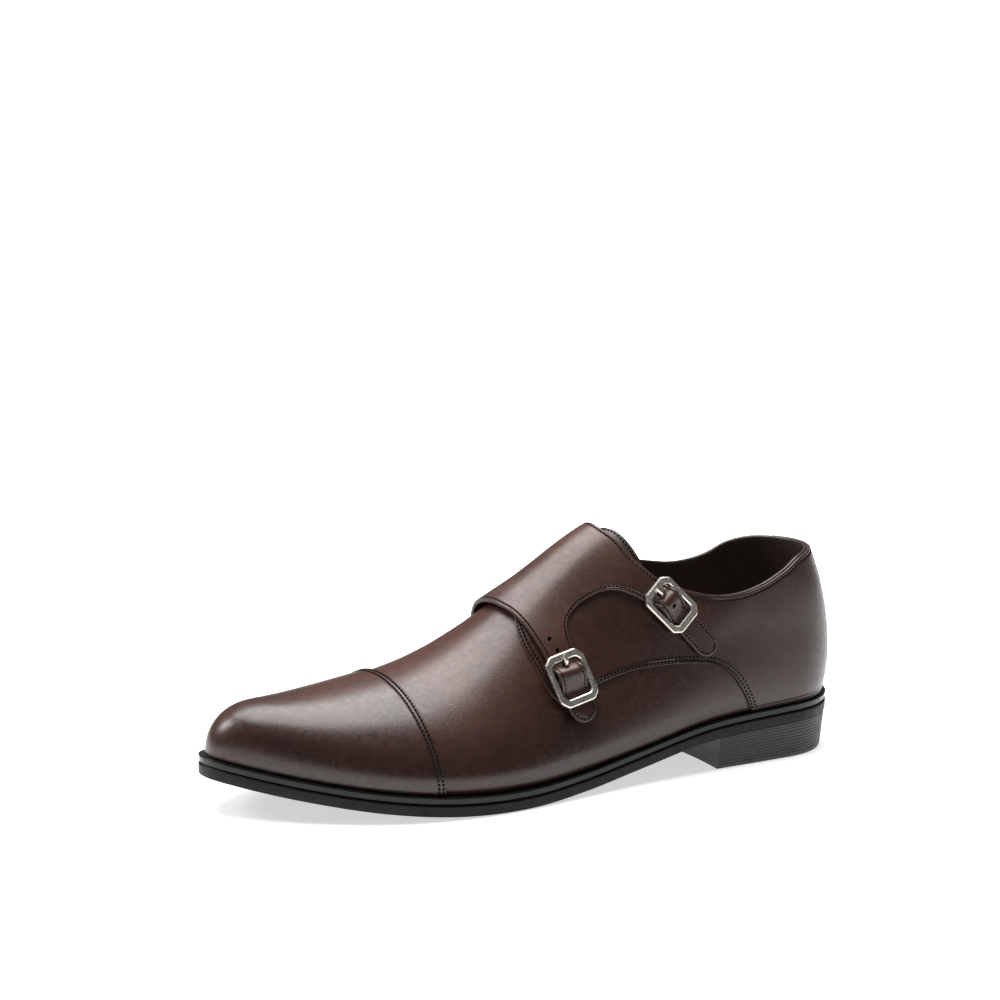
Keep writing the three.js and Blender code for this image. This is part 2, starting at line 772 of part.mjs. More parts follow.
// Lays the tail of a tab, drawn in a buckle's plane, down on the curved leather under it.
function draped(geometry, buckle) {
  const place = geometry.attributes.position;
  for (let i = 0; i < place.count; i += 1) {
    const tail = ease(-place.getY(i) / (TAB_LONG / 3));
    const drop = tail * underBuckle(buckle, place.getX(i), place.getY(i)).height;
    place.setZ(i, place.getZ(i) + drop);
  }
  return geometry;
}

// ---- flap ---------------------------------------------------------------------------------------
// Rows of [at, girth] points across a panel, from its rear edge to its front edge.
function acrossPanel(ends, columns) {
  return Array.from({ length: columns + 1 }, (_, j) => {
    const t = j / columns;
    return [0, 1].map((k) => ends[0][k] + (ends[1][k] - ends[0][k]) * t);
  });
}

function bodyRows() {
  const read = FLAP.read;
  const count = FLAP_SPLIT * (FLAP.rows.length - 1);
  return Array.from({ length: count + 1 }, (_, i) => {
    const row = i / FLAP_SPLIT;
    const rear = [read.rearAt(row), read.rearGirth(row)];
    const mid = [read.midAt(row), read.midGirth(row)];
    const front = [read.frontAt(row), read.frontGirth(row)];
    return [...acrossPanel([rear, mid], FLAP_COLUMNS), ...acrossPanel([mid, front], FLAP_COLUMNS).slice(1)];
  });
}

// The straight strap in its buckle's plane: how far up it each row lies, and its half width there.
function strapStations(buckle) {
  const top = buckle.length / 2 - FRAME_END;
  const bottom = buckle.strapHalf - buckle.strapTip;
  const count = Math.round((top - bottom) / STRAP_STEP);
  const straight = Array.from({ length: count + 1 }, (_, i) => ({
    up: top + ((bottom - top) * i) / count,
    half: buckle.strapHalf,
  }));
  const tip = Array.from({ length: TIP_FACETS }, (_, i) => {
    const turn = (Math.PI / 2) * ((i + 0.8) / TIP_FACETS);
    return { up: bottom - buckle.strapHalf * Math.sin(turn), half: buckle.strapHalf * Math.cos(turn) };
  });
  return [...straight, ...tip];
}

function legRows(buckle) {
  const tops = LEG_TOPS[buckle.name];
  const strap = strapStations(buckle).map(({ up, half }) =>
    [half, -half].map((x) => {
      const { at, across } = underBuckle(buckle, x, up);
      return [at, girthAt(at, across)];
    }),
  );
  const count = FLAP_SPLIT * (tops.rows.length - 1);
  const hung = Array.from({ length: count + 1 }, (_, i) => {
    const row = i / FLAP_SPLIT;
    const rear = [tops.read.rearAt(row), tops.read.rearGirth(row)];
    return [rear, [tops.read.frontAt(row), tops.read.frontGirth(row)]];
  });
  return [...hung, ...strap].map((ends) => acrossPanel(ends, FLAP_COLUMNS));
}

// How far the strap is lifted at a point of the last, to clear the bar and the tab of its buckle.
function strapLift(inverse, point) {
  const local = point.clone().applyMatrix4(inverse);
  const above = local.y - HUMP_UP;
  const near = clamp01(above > 0 ? above / HUMP_ABOVE : -above / HUMP_BELOW);
  const hump = (STRAP_HUMP - FLAP_GAP) * Math.cos((Math.PI / 2) * near) ** 2;
  const overTab = (TAB_CLEAR - FLAP_GAP) * ease(1 - local.y / TAB_REACH);
  return Math.max(hump, overTab);
}

// How far the flap's front edge stands off the vamp.
function flapStand(at, girth) {
  const [inner, outer] = STAND_ENDS;
  const fade = ease(1 - (girth - outer) / STAND_FADE) * ease(1 - (inner - girth) / STAND_FADE);
  return FLAP_STAND * fade * ease((at - STAND_FROM) / (STAND_FULL - STAND_FROM));
}

function makeFlap() {
  const net = new Net();
  const sheets = (rows, lift) =>
    [FLAP_GAP + FLAP_THICK, FLAP_GAP].map((offset) =>
      rows.map((row) =>
        row.map(([at, girth]) => {
          const across = acrossAtGirth(at, girth);
          return skin(at, across, offset + flapStand(at, girth) + lift(lastPoint(at, across)));
        }),
      ),
    );
  const edge = (sheet, j) => sheet.map((row) => row.at(j));
  const [bodyTop, bodyUnder] = sheets(bodyRows(), () => 0);
  net.sheet(bodyTop, true);
  net.sheet(bodyUnder);
  net.sheet([bodyTop[0], bodyUnder[0]]);
  net.sheet([edge(bodyTop, 0), edge(bodyUnder, 0)], true);
  net.sheet([edge(bodyTop, -1), edge(bodyUnder, -1)]);
  BUCKLES.forEach((buckle) => {
    const inverse = buckleFrame(buckle).invert();
    const rows = legRows(buckle);
    const [top, under] = sheets(rows, (point) => strapLift(inverse, point));
    net.sheet(top, true);
    net.sheet(under);
    net.sheet([edge(top, 0), edge(under, 0)], true);
    net.sheet([edge(top, -1), edge(under, -1)]);
    net.sheet([top.at(-1), under.at(-1)], true);
  });
  let flap = solidOf(net.geometry());
  BUCKLES.forEach((buckle) => {
    const slot = new THREE.BoxGeometry(SLOT_WIDE, SLOT_HIGH - SLOT_LOW, SLOT_DEEP);
    slot.translate(0, (SLOT_HIGH + SLOT_LOW) / 2, 0);
    slot.applyMatrix4(buckleFrame(buckle));
    flap = flap.subtract(solidOf(slot));
  });
  return geometryOf(flap);
}

// ---- assembly -----------------------------------------------------------------------------------
function mesh(name, geometry, finish) {
  geometry.computeVertexNormals();
  const made = new THREE.Mesh(geometry, new THREE.MeshStandardMaterial(COLOURS[finish]));
  made.name = name;
  return made;
}

const shoe = new THREE.Group();
shoe.position.set(-CENTRE_X, -CENTRE_Y, 0);
shoe.add(
  mesh("outsole", makeOutsole(), "rubber"),
  mesh("heel_block", makeHeel(), "rubber"),
  mesh("welt", makeWelt(), "rubber"),
  mesh("insole", makeInsole(), "lining"),
  mesh("upper", makeUpper(), "calf"),
  mesh("toe_cap", makeToeCap(), "calf"),
  mesh("backstay", makeBackstay(), "calfDark"),
  mesh("tongue", makeTongue(), "calfDark"),
  mesh("strap_flap", makeFlap(), "calf"),
);
BUCKLES.forEach((buckle) => {
  const place = buckleFrame(buckle);
  shoe.add(
    mesh(`buckle_frame_${buckle.name}`, makeBuckleFrame(buckle).applyMatrix4(place), "nickel"),
    mesh(`buckle_prong_${buckle.name}`, makeProng(buckle).applyMatrix4(place), "nickel"),
    mesh(`buckle_tab_${buckle.name}`, makeBuckleTab(buckle).applyMatrix4(place), "calfDark"),
  );
});

export default shoe;
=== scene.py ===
import logging
import math
from dataclasses import dataclass, field
from enum import Enum
from typing import Callable, Sequence

import bmesh
import bpy
import numpy as np
from mathutils import Matrix, Vector
from mathutils.geometry import delaunay_2d_cdt


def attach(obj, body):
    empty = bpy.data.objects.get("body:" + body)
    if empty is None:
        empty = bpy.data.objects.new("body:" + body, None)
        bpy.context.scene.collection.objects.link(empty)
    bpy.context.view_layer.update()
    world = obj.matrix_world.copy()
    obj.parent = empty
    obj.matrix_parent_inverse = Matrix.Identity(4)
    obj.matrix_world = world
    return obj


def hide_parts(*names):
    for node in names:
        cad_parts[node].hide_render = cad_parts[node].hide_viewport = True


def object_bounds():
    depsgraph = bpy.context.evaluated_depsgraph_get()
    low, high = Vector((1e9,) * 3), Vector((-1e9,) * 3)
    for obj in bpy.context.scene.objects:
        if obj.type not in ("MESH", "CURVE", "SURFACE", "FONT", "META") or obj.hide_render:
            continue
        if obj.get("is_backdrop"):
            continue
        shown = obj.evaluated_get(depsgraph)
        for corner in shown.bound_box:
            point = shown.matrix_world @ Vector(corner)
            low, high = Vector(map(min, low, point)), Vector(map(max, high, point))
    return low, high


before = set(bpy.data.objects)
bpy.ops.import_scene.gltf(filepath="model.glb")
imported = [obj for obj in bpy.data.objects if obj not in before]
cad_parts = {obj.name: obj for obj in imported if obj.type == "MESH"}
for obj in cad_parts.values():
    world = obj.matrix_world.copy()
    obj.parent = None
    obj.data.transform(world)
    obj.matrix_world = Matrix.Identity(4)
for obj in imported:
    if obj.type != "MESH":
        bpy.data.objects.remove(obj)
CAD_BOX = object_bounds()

log = logging.getLogger("monk_strap_shoe")

MM = 0.001
CENTRE = np.array([0.09, -1.32, 0.0])  # the solid frame's origin on the last
WALL = 2.2
FIT = 0.3
Array = np.ndarray
Lift = Callable[[Array, Array], Array]
Triple = tuple[float, float, float]
Socket = bpy.types.NodeSocket
Object = bpy.types.Object


class Finish(Enum):
    """The finishes that pieces are dressed in, by the name of their material."""

    UPPER = "upper_calf"
    CAP = "cap_calf"
    STRAP = "strap_calf"
    DARK = "dark_calf"
    # Partly painted highlight: the lighter cut-edge colour also stands in for light caught along the edges.
    EDGE = "cut_edge_and_painted_highlight"
    LINING = "lining_leather"
    THREAD = "waxed_thread"
    # Painted shade: the near-black fill inside punched holes.
    HOLE = "punched_hole_painted_shade"
    WELT = "welt_edge"
    SOLE = "outsole_rubber"
    HEEL = "grooved_rubber"
    NICKEL = "antique_nickel"


# ---- tables and curves ----
class Table:
    """Rows of named numbers, read between rows as smooth curves."""

    def __init__(self, columns: str, rows: Sequence[Sequence[float]]) -> None:
        """Keeps the rows.

        Args:
            columns: Names of the columns, the first being the place the others are read at.
            rows: One row of numbers for each place.
        """
        self.names = columns.split()
        self.data = np.array(rows, float)
        self.places = self.data[:, 0]

    def read(self, name: str, place: Array | float) -> Array:
        """Reads one column.

        Args:
            name: The column.
            place: Where to read it; held inside the table's range.

        Returns:
            The smooth curve's values.
        """
        values = self.data[:, self.names.index(name)]
        held = np.clip(np.asarray(place, float), self.places[0], self.places[-1])
        slope = np.gradient(values, self.places)
        i = np.clip(np.searchsorted(self.places, held, side="right") - 1, 0, len(self.places) - 2)
        h = self.places[i + 1] - self.places[i]
        t = (held - self.places[i]) / h
        rise = values[i + 1] - values[i]
        bow = t * (1 - t) * ((1 - t) * (slope[i] * h - rise) - t * (slope[i + 1] * h - rise))
        return values[i] + rise * t + bow


def ease(t: Array | float) -> Array:
    """Smooth step from 0 to 1."""
    held = np.clip(t, 0, 1)
    return held * held * (3 - 2 * held)


def super_round(t: Array, power: float) -> Array:
    """Quarter of a superellipse: 1 at t = 0, 0 at t = 1."""
    return np.sqrt(np.maximum(1 - np.clip(t, 0, 1) ** power, 0))


def travelled(points: Array) -> Array:
    """Distances gone along a polyline, from 0 at its start."""
    return np.concatenate([[0], np.cumsum(np.linalg.norm(np.diff(points, axis=0), axis=1))])


def unit(arrows: Array) -> Array:
    """The same directions with a length of 1."""
    return arrows / np.maximum(np.linalg.norm(arrows, axis=-1, keepdims=True), 1e-12)


def along(points: Array, count: int | None = None, step: float = 1.0) -> Array:
    """Points spaced evenly along a polyline.

    Args:
        points: The polyline's corners.
        count: How many points to return, or None to use step.
        step: Their spacing when count is None.

    Returns:
        The spaced points, first and last included.
    """
    gone = travelled(points)
    number = count or max(2, int(round(gone[-1] / step)) + 1)
    marks = np.linspace(0, gone[-1], number)
    return np.stack([np.interp(marks, gone, points[:, k]) for k in range(points.shape[1])], 1)


def rounded(points: Array, rounds: int, closed: bool = False) -> Array:
    """Softens a polyline's corners.

    Args:
        points: The polyline.
        rounds: How many times each point moves to the middle of its neighbours.
        closed: Whether the last point joins the first.

    Returns:
        The softer polyline.
    """
    out = points.copy()
    for _ in range(rounds):
        if closed:
            out = (np.roll(out, 1, 0) + 2 * out + np.roll(out, -1, 0)) / 4
        else:
            out[1:-1] = (out[:-2] + 2 * out[1:-1] + out[2:]) / 4
    return out


def curve_through(rows: Sequence[Sequence[float]], count: int = 80) -> Array:
    """A smooth curve through a short list of (at, girth) places.

    Args:
        rows: The places it passes.
        count: How many points to return.

    Returns:
        The curve.
    """
    points = np.array(rows, float)
    table = Table("row at girth", [[i, *p] for i, p in enumerate(points)])
    marks = np.linspace(0, len(points) - 1, count)
    return along(np.stack([table.read("at", marks), table.read("girth", marks)], 1), count)


# ---- the last ----
@dataclass(frozen=True)
class Crease:
    """A soft trough or ridge in the leather, between two (at, girth) places."""

    start: tuple[float, float]
    end: tuple[float, float]
    depth: float
    width: float

    def height(self, at: Array, girth: Array) -> Array:
        """How far the leather is moved outward at places on the last.

        Args:
            at: Places along.
            girth: Places round.

        Returns:
            Millimetres outward.
        """
        a, b = np.array(self.start), np.array(self.end)
        run = b - a
        share = ((at - a[0]) * run[0] + (girth - a[1]) * run[1]) / (run @ run)
        t = np.clip(share, 0, 1)
        miss = (at - a[0] - t * run[0]) ** 2 + (girth - a[1] - t * run[1]) ** 2
        fade = 1 - 0.6 * np.abs(2 * t - 1) ** 2
        return -self.depth * fade * np.exp(-miss / (2 * self.width**2))


@dataclass
class Last:
    """The form of the foot that every leather piece lies on."""

    length: float = 300.0
    heel_round: float = 34.0
    heel_square: float = 2.3
    toe_round: float = 78.0
    toe_square: float = 2.2
    nose_round: float = 26.0
    nose_square: float = 2.7
    belly_up: float = 9.0
    belly_over: float = 40.0
    back_zone: float = 90.0
    throat_top: float = 112.0
    throat_tip: float = 162.0
    creases: tuple[Crease, ...] = (
        Crease((196, -34), (186, 30), 0.25, 5.0),
        Crease((205, -30), (199, 34), 0.18, 4.0),
        Crease((168, 17), (112, 9), -0.4, 4.5),
        Crease((160, 30), (116, 23), 0.28, 5.0),
        Crease((118, 48), (132, 60), 0.3, 5.0),
        Crease((36, 52), (52, 66), 0.35, 7.0),
        Crease((60, 58), (86, 70), -0.25, 6.0),
    )
    sections: Table = Table(
        "at axis half feather ridge crest full belly",
        [
            [0, 0.0, 30.0, 26.0, 128.0, 0.0, 0.55, 1.0],
            [40, 0.5, 31.5, 25.0, 124.0, 0.0, 0.5, 1.6],
            [80, 2.5, 31.0, 22.5, 116.0, -1.0, 0.3, 2.0],
            [120, 4.5, 32.0, 15.5, 107.0, -4.0, 0.05, 2.5],
            [150, 3.5, 36.5, 11.0, 88.3, -6.0, -0.05, 3.0],
            [180, 1.0, 43.0, 9.0, 68.1, -7.0, 0.0, 3.0],
            [210, -1.5, 44.5, 9.5, 54.4, -8.0, 0.08, 2.5],
            [240, -4.5, 40.5, 12.5, 48.1, -9.0, 0.15, 2.0],
            [270, -9.0, 34.0, 17.5, 44.6, -11.0, 0.2, 1.5],
            [300, -14.0, 27.0, 24.0, 44.5, -14.0, 0.2, 1.0],
        ],
    )
    back: Table = Table("up lean", [[0, 0], [18, -2.4], [35, -1.2], [50, 2.6], [65, 8.6], [110, 25]])
    collar: Table = Table(
        "at outer inner",
        [
            [0, 93.6, 93.6],
            [10, 93, 92.6],
            [22, 91.2, 89.6],
            [34, 86.2, 85],
            [48, 81, 82.4],
            [60, 78.2, 82.2],
            [72, 77.5, 83.8],
            [92, 82, 87.6],
            [112, 91, 92.8],
        ],
    )

    def __post_init__(self) -> None:
        """Measures the girth round each section once, for both sides."""
        self._ats = self.length * (1 - np.cos(np.pi * np.linspace(0, 1, 361))) / 2
        self._share = np.linspace(0, 1, 161)
        self._cum: dict[int, Array] = {}
        self._inverse: dict[int, Array] = {}
        for side in (-1, 1):
            points = self.point(self._ats[:, None], side * self._share[None, :])
            stride = np.linalg.norm(np.diff(points, axis=1), axis=2)
            cum = np.concatenate([np.zeros((len(self._ats), 1)), np.cumsum(stride, 1)], 1)
            self._cum[side] = cum
            total = np.maximum(cum[:, -1:], 1e-9)
            self._inverse[side] = np.stack(
                [np.interp(self._share, row / whole, self._share) for row, whole in zip(cum, total[:, 0])]
            )

    def plan_round(self, at: Array) -> Array:
        """How far the plan has closed in at the round heel and toe, 1 where it hasn't.

        Args:
            at: Places along.

        Returns:
            The shares.
        """
        heel = super_round(1 - at / self.heel_round, self.heel_square)
        toe = super_round((at - self.length + self.toe_round) / self.toe_round, self.toe_square)
        return heel * toe

    def section_height(self, at: Array) -> Array:
        """Height of the ridge over the feather edge."""
        nose = super_round((at - self.length + self.nose_round) / self.nose_round, self.nose_square)
        return (self.sections.read("ridge", at) - self.sections.read("feather", at)) * nose

    def point(self, at: Array | float, across: Array | float) -> Array:
        """Points on the bare last.

        Args:
            at: Distances along the last.
            across: Places across it.

        Returns:
            Points in the frame, in millimetres.
        """
        at, across = np.broadcast_arrays(np.asarray(at, float), np.asarray(across, float))
        read = self.sections.read
        turn = (1 - np.abs(across)) * np.pi / 2
        rise, flat = np.sin(turn), np.cos(turn)
        up = self.section_height(at) * rise
        low = np.sin(np.pi * up / 2 / self.belly_up)
        gone = np.clip((up - self.belly_up) / (self.belly_over - self.belly_up), 0, 1)
        high = np.cos(np.pi / 2 * gone) ** 2
        belly = read("belly", at) * np.where(up < self.belly_up, low, high)
        reach = flat * (read("half", at) * (1 + read("full", at) * rise * rise) + belly)
        middle = read("axis", at) * (1 - rise) + read("crest", at) * rise
        lean = self.back.read("lean", up) * (1 - ease(at / self.back_zone))
        out = np.stack(
            [
                at - self.length / 2 + lean,
                middle + np.sign(across) * self.plan_round(at) * reach,
                read("feather", at) + up,
            ],
            -1,
        )
        return out - CENTRE

    def normal(self, at: Array, across: Array) -> Array:
        """Outward directions of the last's surface.

        Args:
            at: Places along.
            across: Places across.

        Returns:
            Unit vectors.
        """
        at, across = np.broadcast_arrays(np.asarray(at, float), np.asarray(across, float))
        step, turn = 0.05, 2e-4
        held = np.clip(at, 12 * step, self.length - 4 * step)
        ahead = self.point(held + step, across) - self.point(held - step, across)
        lower, upper = np.maximum(across - turn, -1), np.minimum(across + turn, 1)
        round_it = self.point(held, upper) - self.point(held, lower)
        out = np.cross(ahead, round_it)
        out[..., 1] = np.where(at < 1e-6, 0, out[..., 1])
        out[..., 2] = np.where(np.abs(across) > 1 - 1e-9, 0, out[..., 2])
        out = unit(out)
        tip = at > self.length - 1e-6
        out[tip] = (1, 0, 0)
        return out

    def _mix(self, grid: Array, at: Array, share: Array) -> Array:
        """Reads a table kept per section and share of girth.

        Args:
            grid: The table.
            at: Places along.
            share: Shares of the girth.

        Returns:
            The values.
        """
        row = np.clip(np.searchsorted(self._ats, at, side="right") - 1, 0, len(self._ats) - 2)
        wr = (at - self._ats[row]) / (self._ats[row + 1] - self._ats[row])
        spot = np.clip(share, 0, 1) * (len(self._share) - 1)
        col = np.clip(spot.astype(int), 0, len(self._share) - 2)
        wc = spot - col
        low = grid[row, col] * (1 - wc) + grid[row, col + 1] * wc
        high = grid[row + 1, col] * (1 - wc) + grid[row + 1, col + 1] * wc
        return low * (1 - wr) + high * wr

    def whole_girth(self, at: Array, side: int) -> Array:
        """Distance from ridge to feather edge round one side."""
        return np.interp(at, self._ats, self._cum[side][:, -1])

    def across(self, at: Array, girth: Array) -> Array:
        """Places across the last at distances round it.

        Args:
            at: Places along.
            girth: Places round.

        Returns:
            The places.
        """
        at, girth = np.broadcast_arrays(np.asarray(at, float), np.asarray(girth, float))
        out = np.zeros(at.shape)
        for side in (-1, 1):
            mine = np.sign(girth) == side
            whole = np.maximum(self.whole_girth(at, side), 1e-9)
            share = self._mix(self._inverse[side], at, np.abs(girth) / whole)
            out = np.where(mine, side * np.minimum(share, 1), out)
        return out

    def girth(self, at: Array, across: Array) -> Array:
        """Distances round the last at places across it.

        Args:
            at: Places along.
            across: Places across.

        Returns:
            The distances.
        """
        at, across = np.broadcast_arrays(np.asarray(at, float), np.asarray(across, float))
        out = np.zeros(at.shape)
        for side in (-1, 1):
            gone = self._mix(self._cum[side], at, np.abs(across))
            out = np.where(np.sign(across) == side, side * gone, out)
        return out

    def skin(self, at: Array, across: Array, lift: Array | float = 0.0) -> Array:
        """Points over the last, with its creases.

        Args:
            at: Distances along the last.
            across: Places across it.
            lift: Height over the last.

        Returns:
            Points in the frame, in millimetres.
        """
        at, across, lift = np.broadcast_arrays(*(np.asarray(v, float) for v in (at, across, lift)))
        girth = self.girth(at, across)
        relief = sum(crease.height(at, girth) for crease in self.creases)
        return self.point(at, across) + self.normal(at, across) * (lift + relief)[..., None]

    def opening(self, at: Array, side: int) -> Array:
        """The edge of the collar and throat, as a place across (without its sign).

        Args:
            at: Places along.
            side: 1 on the outer side, -1 on the inner.

        Returns:
            The places.
        """
        at = np.asarray(at, float)
        column = "outer" if side > 0 else "inner"

        def at_height(place: Array) -> Array:
            """How far across the last the topline's height lies."""
            height = self.collar.read(column, place) - self.sections.read("feather", place)
            return 1 - 2 / np.pi * np.arcsin(np.clip(height / self.section_height(place), 0, 1))

        top = at_height(np.array(self.throat_top))
        run = (at - self.throat_top) / (self.throat_tip - self.throat_top)
        collar = at_height(np.minimum(at, self.throat_top))
        return np.where(at <= self.throat_top, collar, top * super_round(run, 2))


# ---- meshes ----
class Shape:
    """Collects points and faces, in millimetres, and makes one object of them."""

    def __init__(self) -> None:
        """Starts empty."""
        self.points: list[Array] = []
        self.faces: list[Array] = []
        self.slots: list[Array] = []
        self.count = 0

    def add(self, points: Array, faces: Array, slot: Array | int = 0) -> None:
        """Adds points and the faces between them.

        Args:
            points: One row for each point.
            faces: Rows of three or four point numbers.
            slot: Material slot of each face, or one for all.
        """
        self.points.append(points.reshape(-1, 3))
        self.faces.append(faces + self.count)
        self.slots.append(np.broadcast_to(np.asarray(slot, int), (len(faces),)))
        self.count += len(self.points[-1])

    def grid(self, points: Array, turned: bool = False, slot: Array | int = 0, wrap: bool = False) -> None:
        """Adds a grid of points[i][j] as quads, facing i x j, or the other way when turned.

        Args:
            points: The grid.
            turned: Whether it faces the other way.
            slot: Material slot, one for all or one for each row of quads (i) and column (j).
            wrap: Whether the last row joins the first.
        """
        rows, columns = points.shape[:2]
        number = np.arange(rows * columns).reshape(rows, columns)
        if wrap:
            number = np.concatenate([number, number[:1]])
        quads = np.stack([number[:-1, :-1], number[1:, :-1], number[1:, 1:], number[:-1, 1:]], -1)
        if turned:
            quads = quads[..., ::-1]
        slots = np.broadcast_to(np.asarray(slot, int), quads.shape[:2])
        self.add(points.reshape(-1, 3), quads.reshape(-1, 4), slots.reshape(-1))

    def build(
        self, name: str, finishes: Sequence[Finish], weld: float = 0.004, crisp: float = 42.0
    ) -> Object:
        """Makes the object.

        Args:
            name: Its name.
            finishes: The finish of each material slot.
            weld: Points nearer than this are joined, in millimetres.
            crisp: Edges sharper than this many degrees stay sharp.

        Returns:
            The new object, linked to the scene.
        """
        points = np.concatenate(self.points) * MM
        quads = [tuple(int(v) for v in face) for block in self.faces for face in block]
        mesh = bpy.data.meshes.new(name)
        mesh.from_pydata(points.tolist(), [], quads)
        mesh.polygons.foreach_set("material_index", np.concatenate(self.slots).astype(np.int32))
        made = bpy.data.objects.new(name, mesh)
        bpy.context.scene.collection.objects.link(made)
        tidy_mesh(mesh, weld * MM)
        mesh.polygons.foreach_set("use_smooth", [True] * len(mesh.polygons))
        mesh.set_sharp_from_angle(angle=math.radians(crisp))
        for finish in finishes:
            mesh.materials.append(bpy.data.materials[finish.value])
        return made


def tidy_mesh(mesh: bpy.types.Mesh, weld: float) -> None:
    """Joins points that coincide and drops faces without area.

    Args:
        mesh: The mesh.
        weld: Points nearer than this are joined.
    """
    work = bmesh.new()
    work.from_mesh(mesh)
    bmesh.ops.remove_doubles(work, verts=work.verts, dist=weld)
    bmesh.ops.dissolve_degenerate(work, edges=work.edges, dist=weld / 4)
    work.to_mesh(mesh)
    work.free()
    mesh.update()


def tube(shape: Shape, path: Array, radii: Array, sides: int = 12, slot: int = 0) -> None:
    """Adds a round bar along a path, closed at both ends.

    Args:
        shape: Where it is added.
        path: Its middle line.
        radii: Its radius at each point.
        sides: Facets round it.
        slot: Material slot.
    """
    tangent = np.gradient(path, axis=0)
    tangent = unit(tangent)
    guide = np.array([0.0, 0.0, 1.0]) if abs(tangent[0][2]) < 0.9 else np.array([1.0, 0.0, 0.0])
    rings = []
    for spot, ahead, radius in zip(path, tangent, radii):
        side = np.cross(ahead, guide)
        side /= np.linalg.norm(side)
        guide = np.cross(side, ahead)
        turn = np.linspace(0, 2 * np.pi, sides, endpoint=False)[:, None]
        rings.append(spot + radius * (np.cos(turn) * side + np.sin(turn) * guide))
    rings = [np.repeat(path[:1], sides, 0), *rings, np.repeat(path[-1:], sides, 0)]
    shape.grid(np.stack(rings, 1), turned=True, slot=slot, wrap=True)


# ---- leather panels ----
@dataclass(frozen=True)
class EdgeCut:
    """How a panel's thickness begins at its edge: pairs of distance in from it and share of thickness."""

    profile: tuple[tuple[float, float], ...] = ((0, 0), (0, 0.55), (0.1, 0.82), (0.3, 0.96), (0.6, 1.0))
    seams: tuple[float, ...] = ()
    groove: float = 0.3
    half_groove: float = 0.5

    def stops(self) -> list[tuple[float, float]]:
        """The profile with a shallow groove along each seam.

        Returns:
            Distances from the cut, each with its share of the thickness.
        """
        marks = list(self.profile)
        for seam in self.seams:
            before, after = seam - self.half_groove, seam + self.half_groove
            marks += [(before, 1.0), (seam, 1 - self.groove), (after, 1.0)]
        return marks

    def share(self, distance: Array) -> Array:
        """Share of the thickness at distances from the edge."""
        marks = np.array(self.stops())
        return np.interp(distance, marks[1:, 0], marks[1:, 1])


@dataclass
class Stitching:
    """Rows of separate stitches laid on the leather."""

    last: Last
    pitch: float = 1.85
    length: float = 1.5
    radius: float = 0.5
    shape: Shape = field(default_factory=Shape)

    def row(self, places: Array, lift: Lift, pitch: float | None = None) -> None:
        """Adds one row of stitches.

        Args:
            places: (at, girth) corners of the row's line.
            lift: Height of the leather's surface over the last.
            pitch: Spacing, if not the usual.
        """
        step = pitch or self.pitch
        fine = along(places, step=0.4)
        at, girth = fine[:, 0], fine[:, 1]
        height = lift(at, girth)
        path = self.last.skin(at, self.last.across(at, girth), height)
        out = self.last.normal(at, self.last.across(at, girth))
        gone = travelled(path)
        total = int(gone[-1] / step)
        starts = (np.arange(total) + 0.5) * gone[-1] / max(total, 1)
        self._lay(path, out, gone, starts)

    def _lay(self, path: Array, out: Array, gone: Array, starts: Array) -> None:
        """Lays a small waisted bead along the path at each start.

        Args:
            path: Points of the row.
            out: Outward directions there.
            gone: Distances along it.
            starts: Middles of the stitches.
        """
        if not len(starts):
            return
        marks = np.array([-0.5, -0.42, -0.22, 0.0, 0.22, 0.42, 0.5]) * self.length
        thick = np.array([0.0, 0.62, 0.95, 1.0, 0.95, 0.62, 0.0]) * self.radius
        sunk = np.array([-1.1, -0.5, 0.1, 0.25, 0.1, -0.5, -1.1]) * self.radius
        spots = np.clip(starts[:, None] + marks[None, :], 0, gone[-1])
        line = np.stack([np.interp(spots, gone, path[:, k]) for k in range(3)], -1)
        upward = np.stack([np.interp(spots, gone, out[:, k]) for k in range(3)], -1)
        ahead = line[:, -1] - line[:, 0]
        ahead = unit(ahead)
        side = np.cross(ahead[:, None, :], upward)
        side = unit(side)
        middle = line + upward * sunk[None, :, None]
        turns = np.linspace(0, 2 * np.pi, 6, endpoint=False)
        ring = (
            middle[:, :, None, :]
            + np.cos(turns)[None, None, :, None] * side[:, :, None, :] * thick[None, :, None, None]
            + np.sin(turns)[None, None, :, None] * upward[:, :, None, :] * thick[None, :, None, None]
        )
        for bead in ring:
            self.shape.grid(np.transpose(bead, (1, 0, 2)), slot=0, wrap=True, turned=True)

    def build(self, name: str) -> Object:
        """Makes one object of all the stitches."""
        return self.shape.build(name, [Finish.THREAD], weld=0.001, crisp=180.0)


def flat_lift(height: float) -> Lift:
    """A surface that is everywhere the same height over the last."""
    return lambda at, girth: np.full(np.shape(at), height)


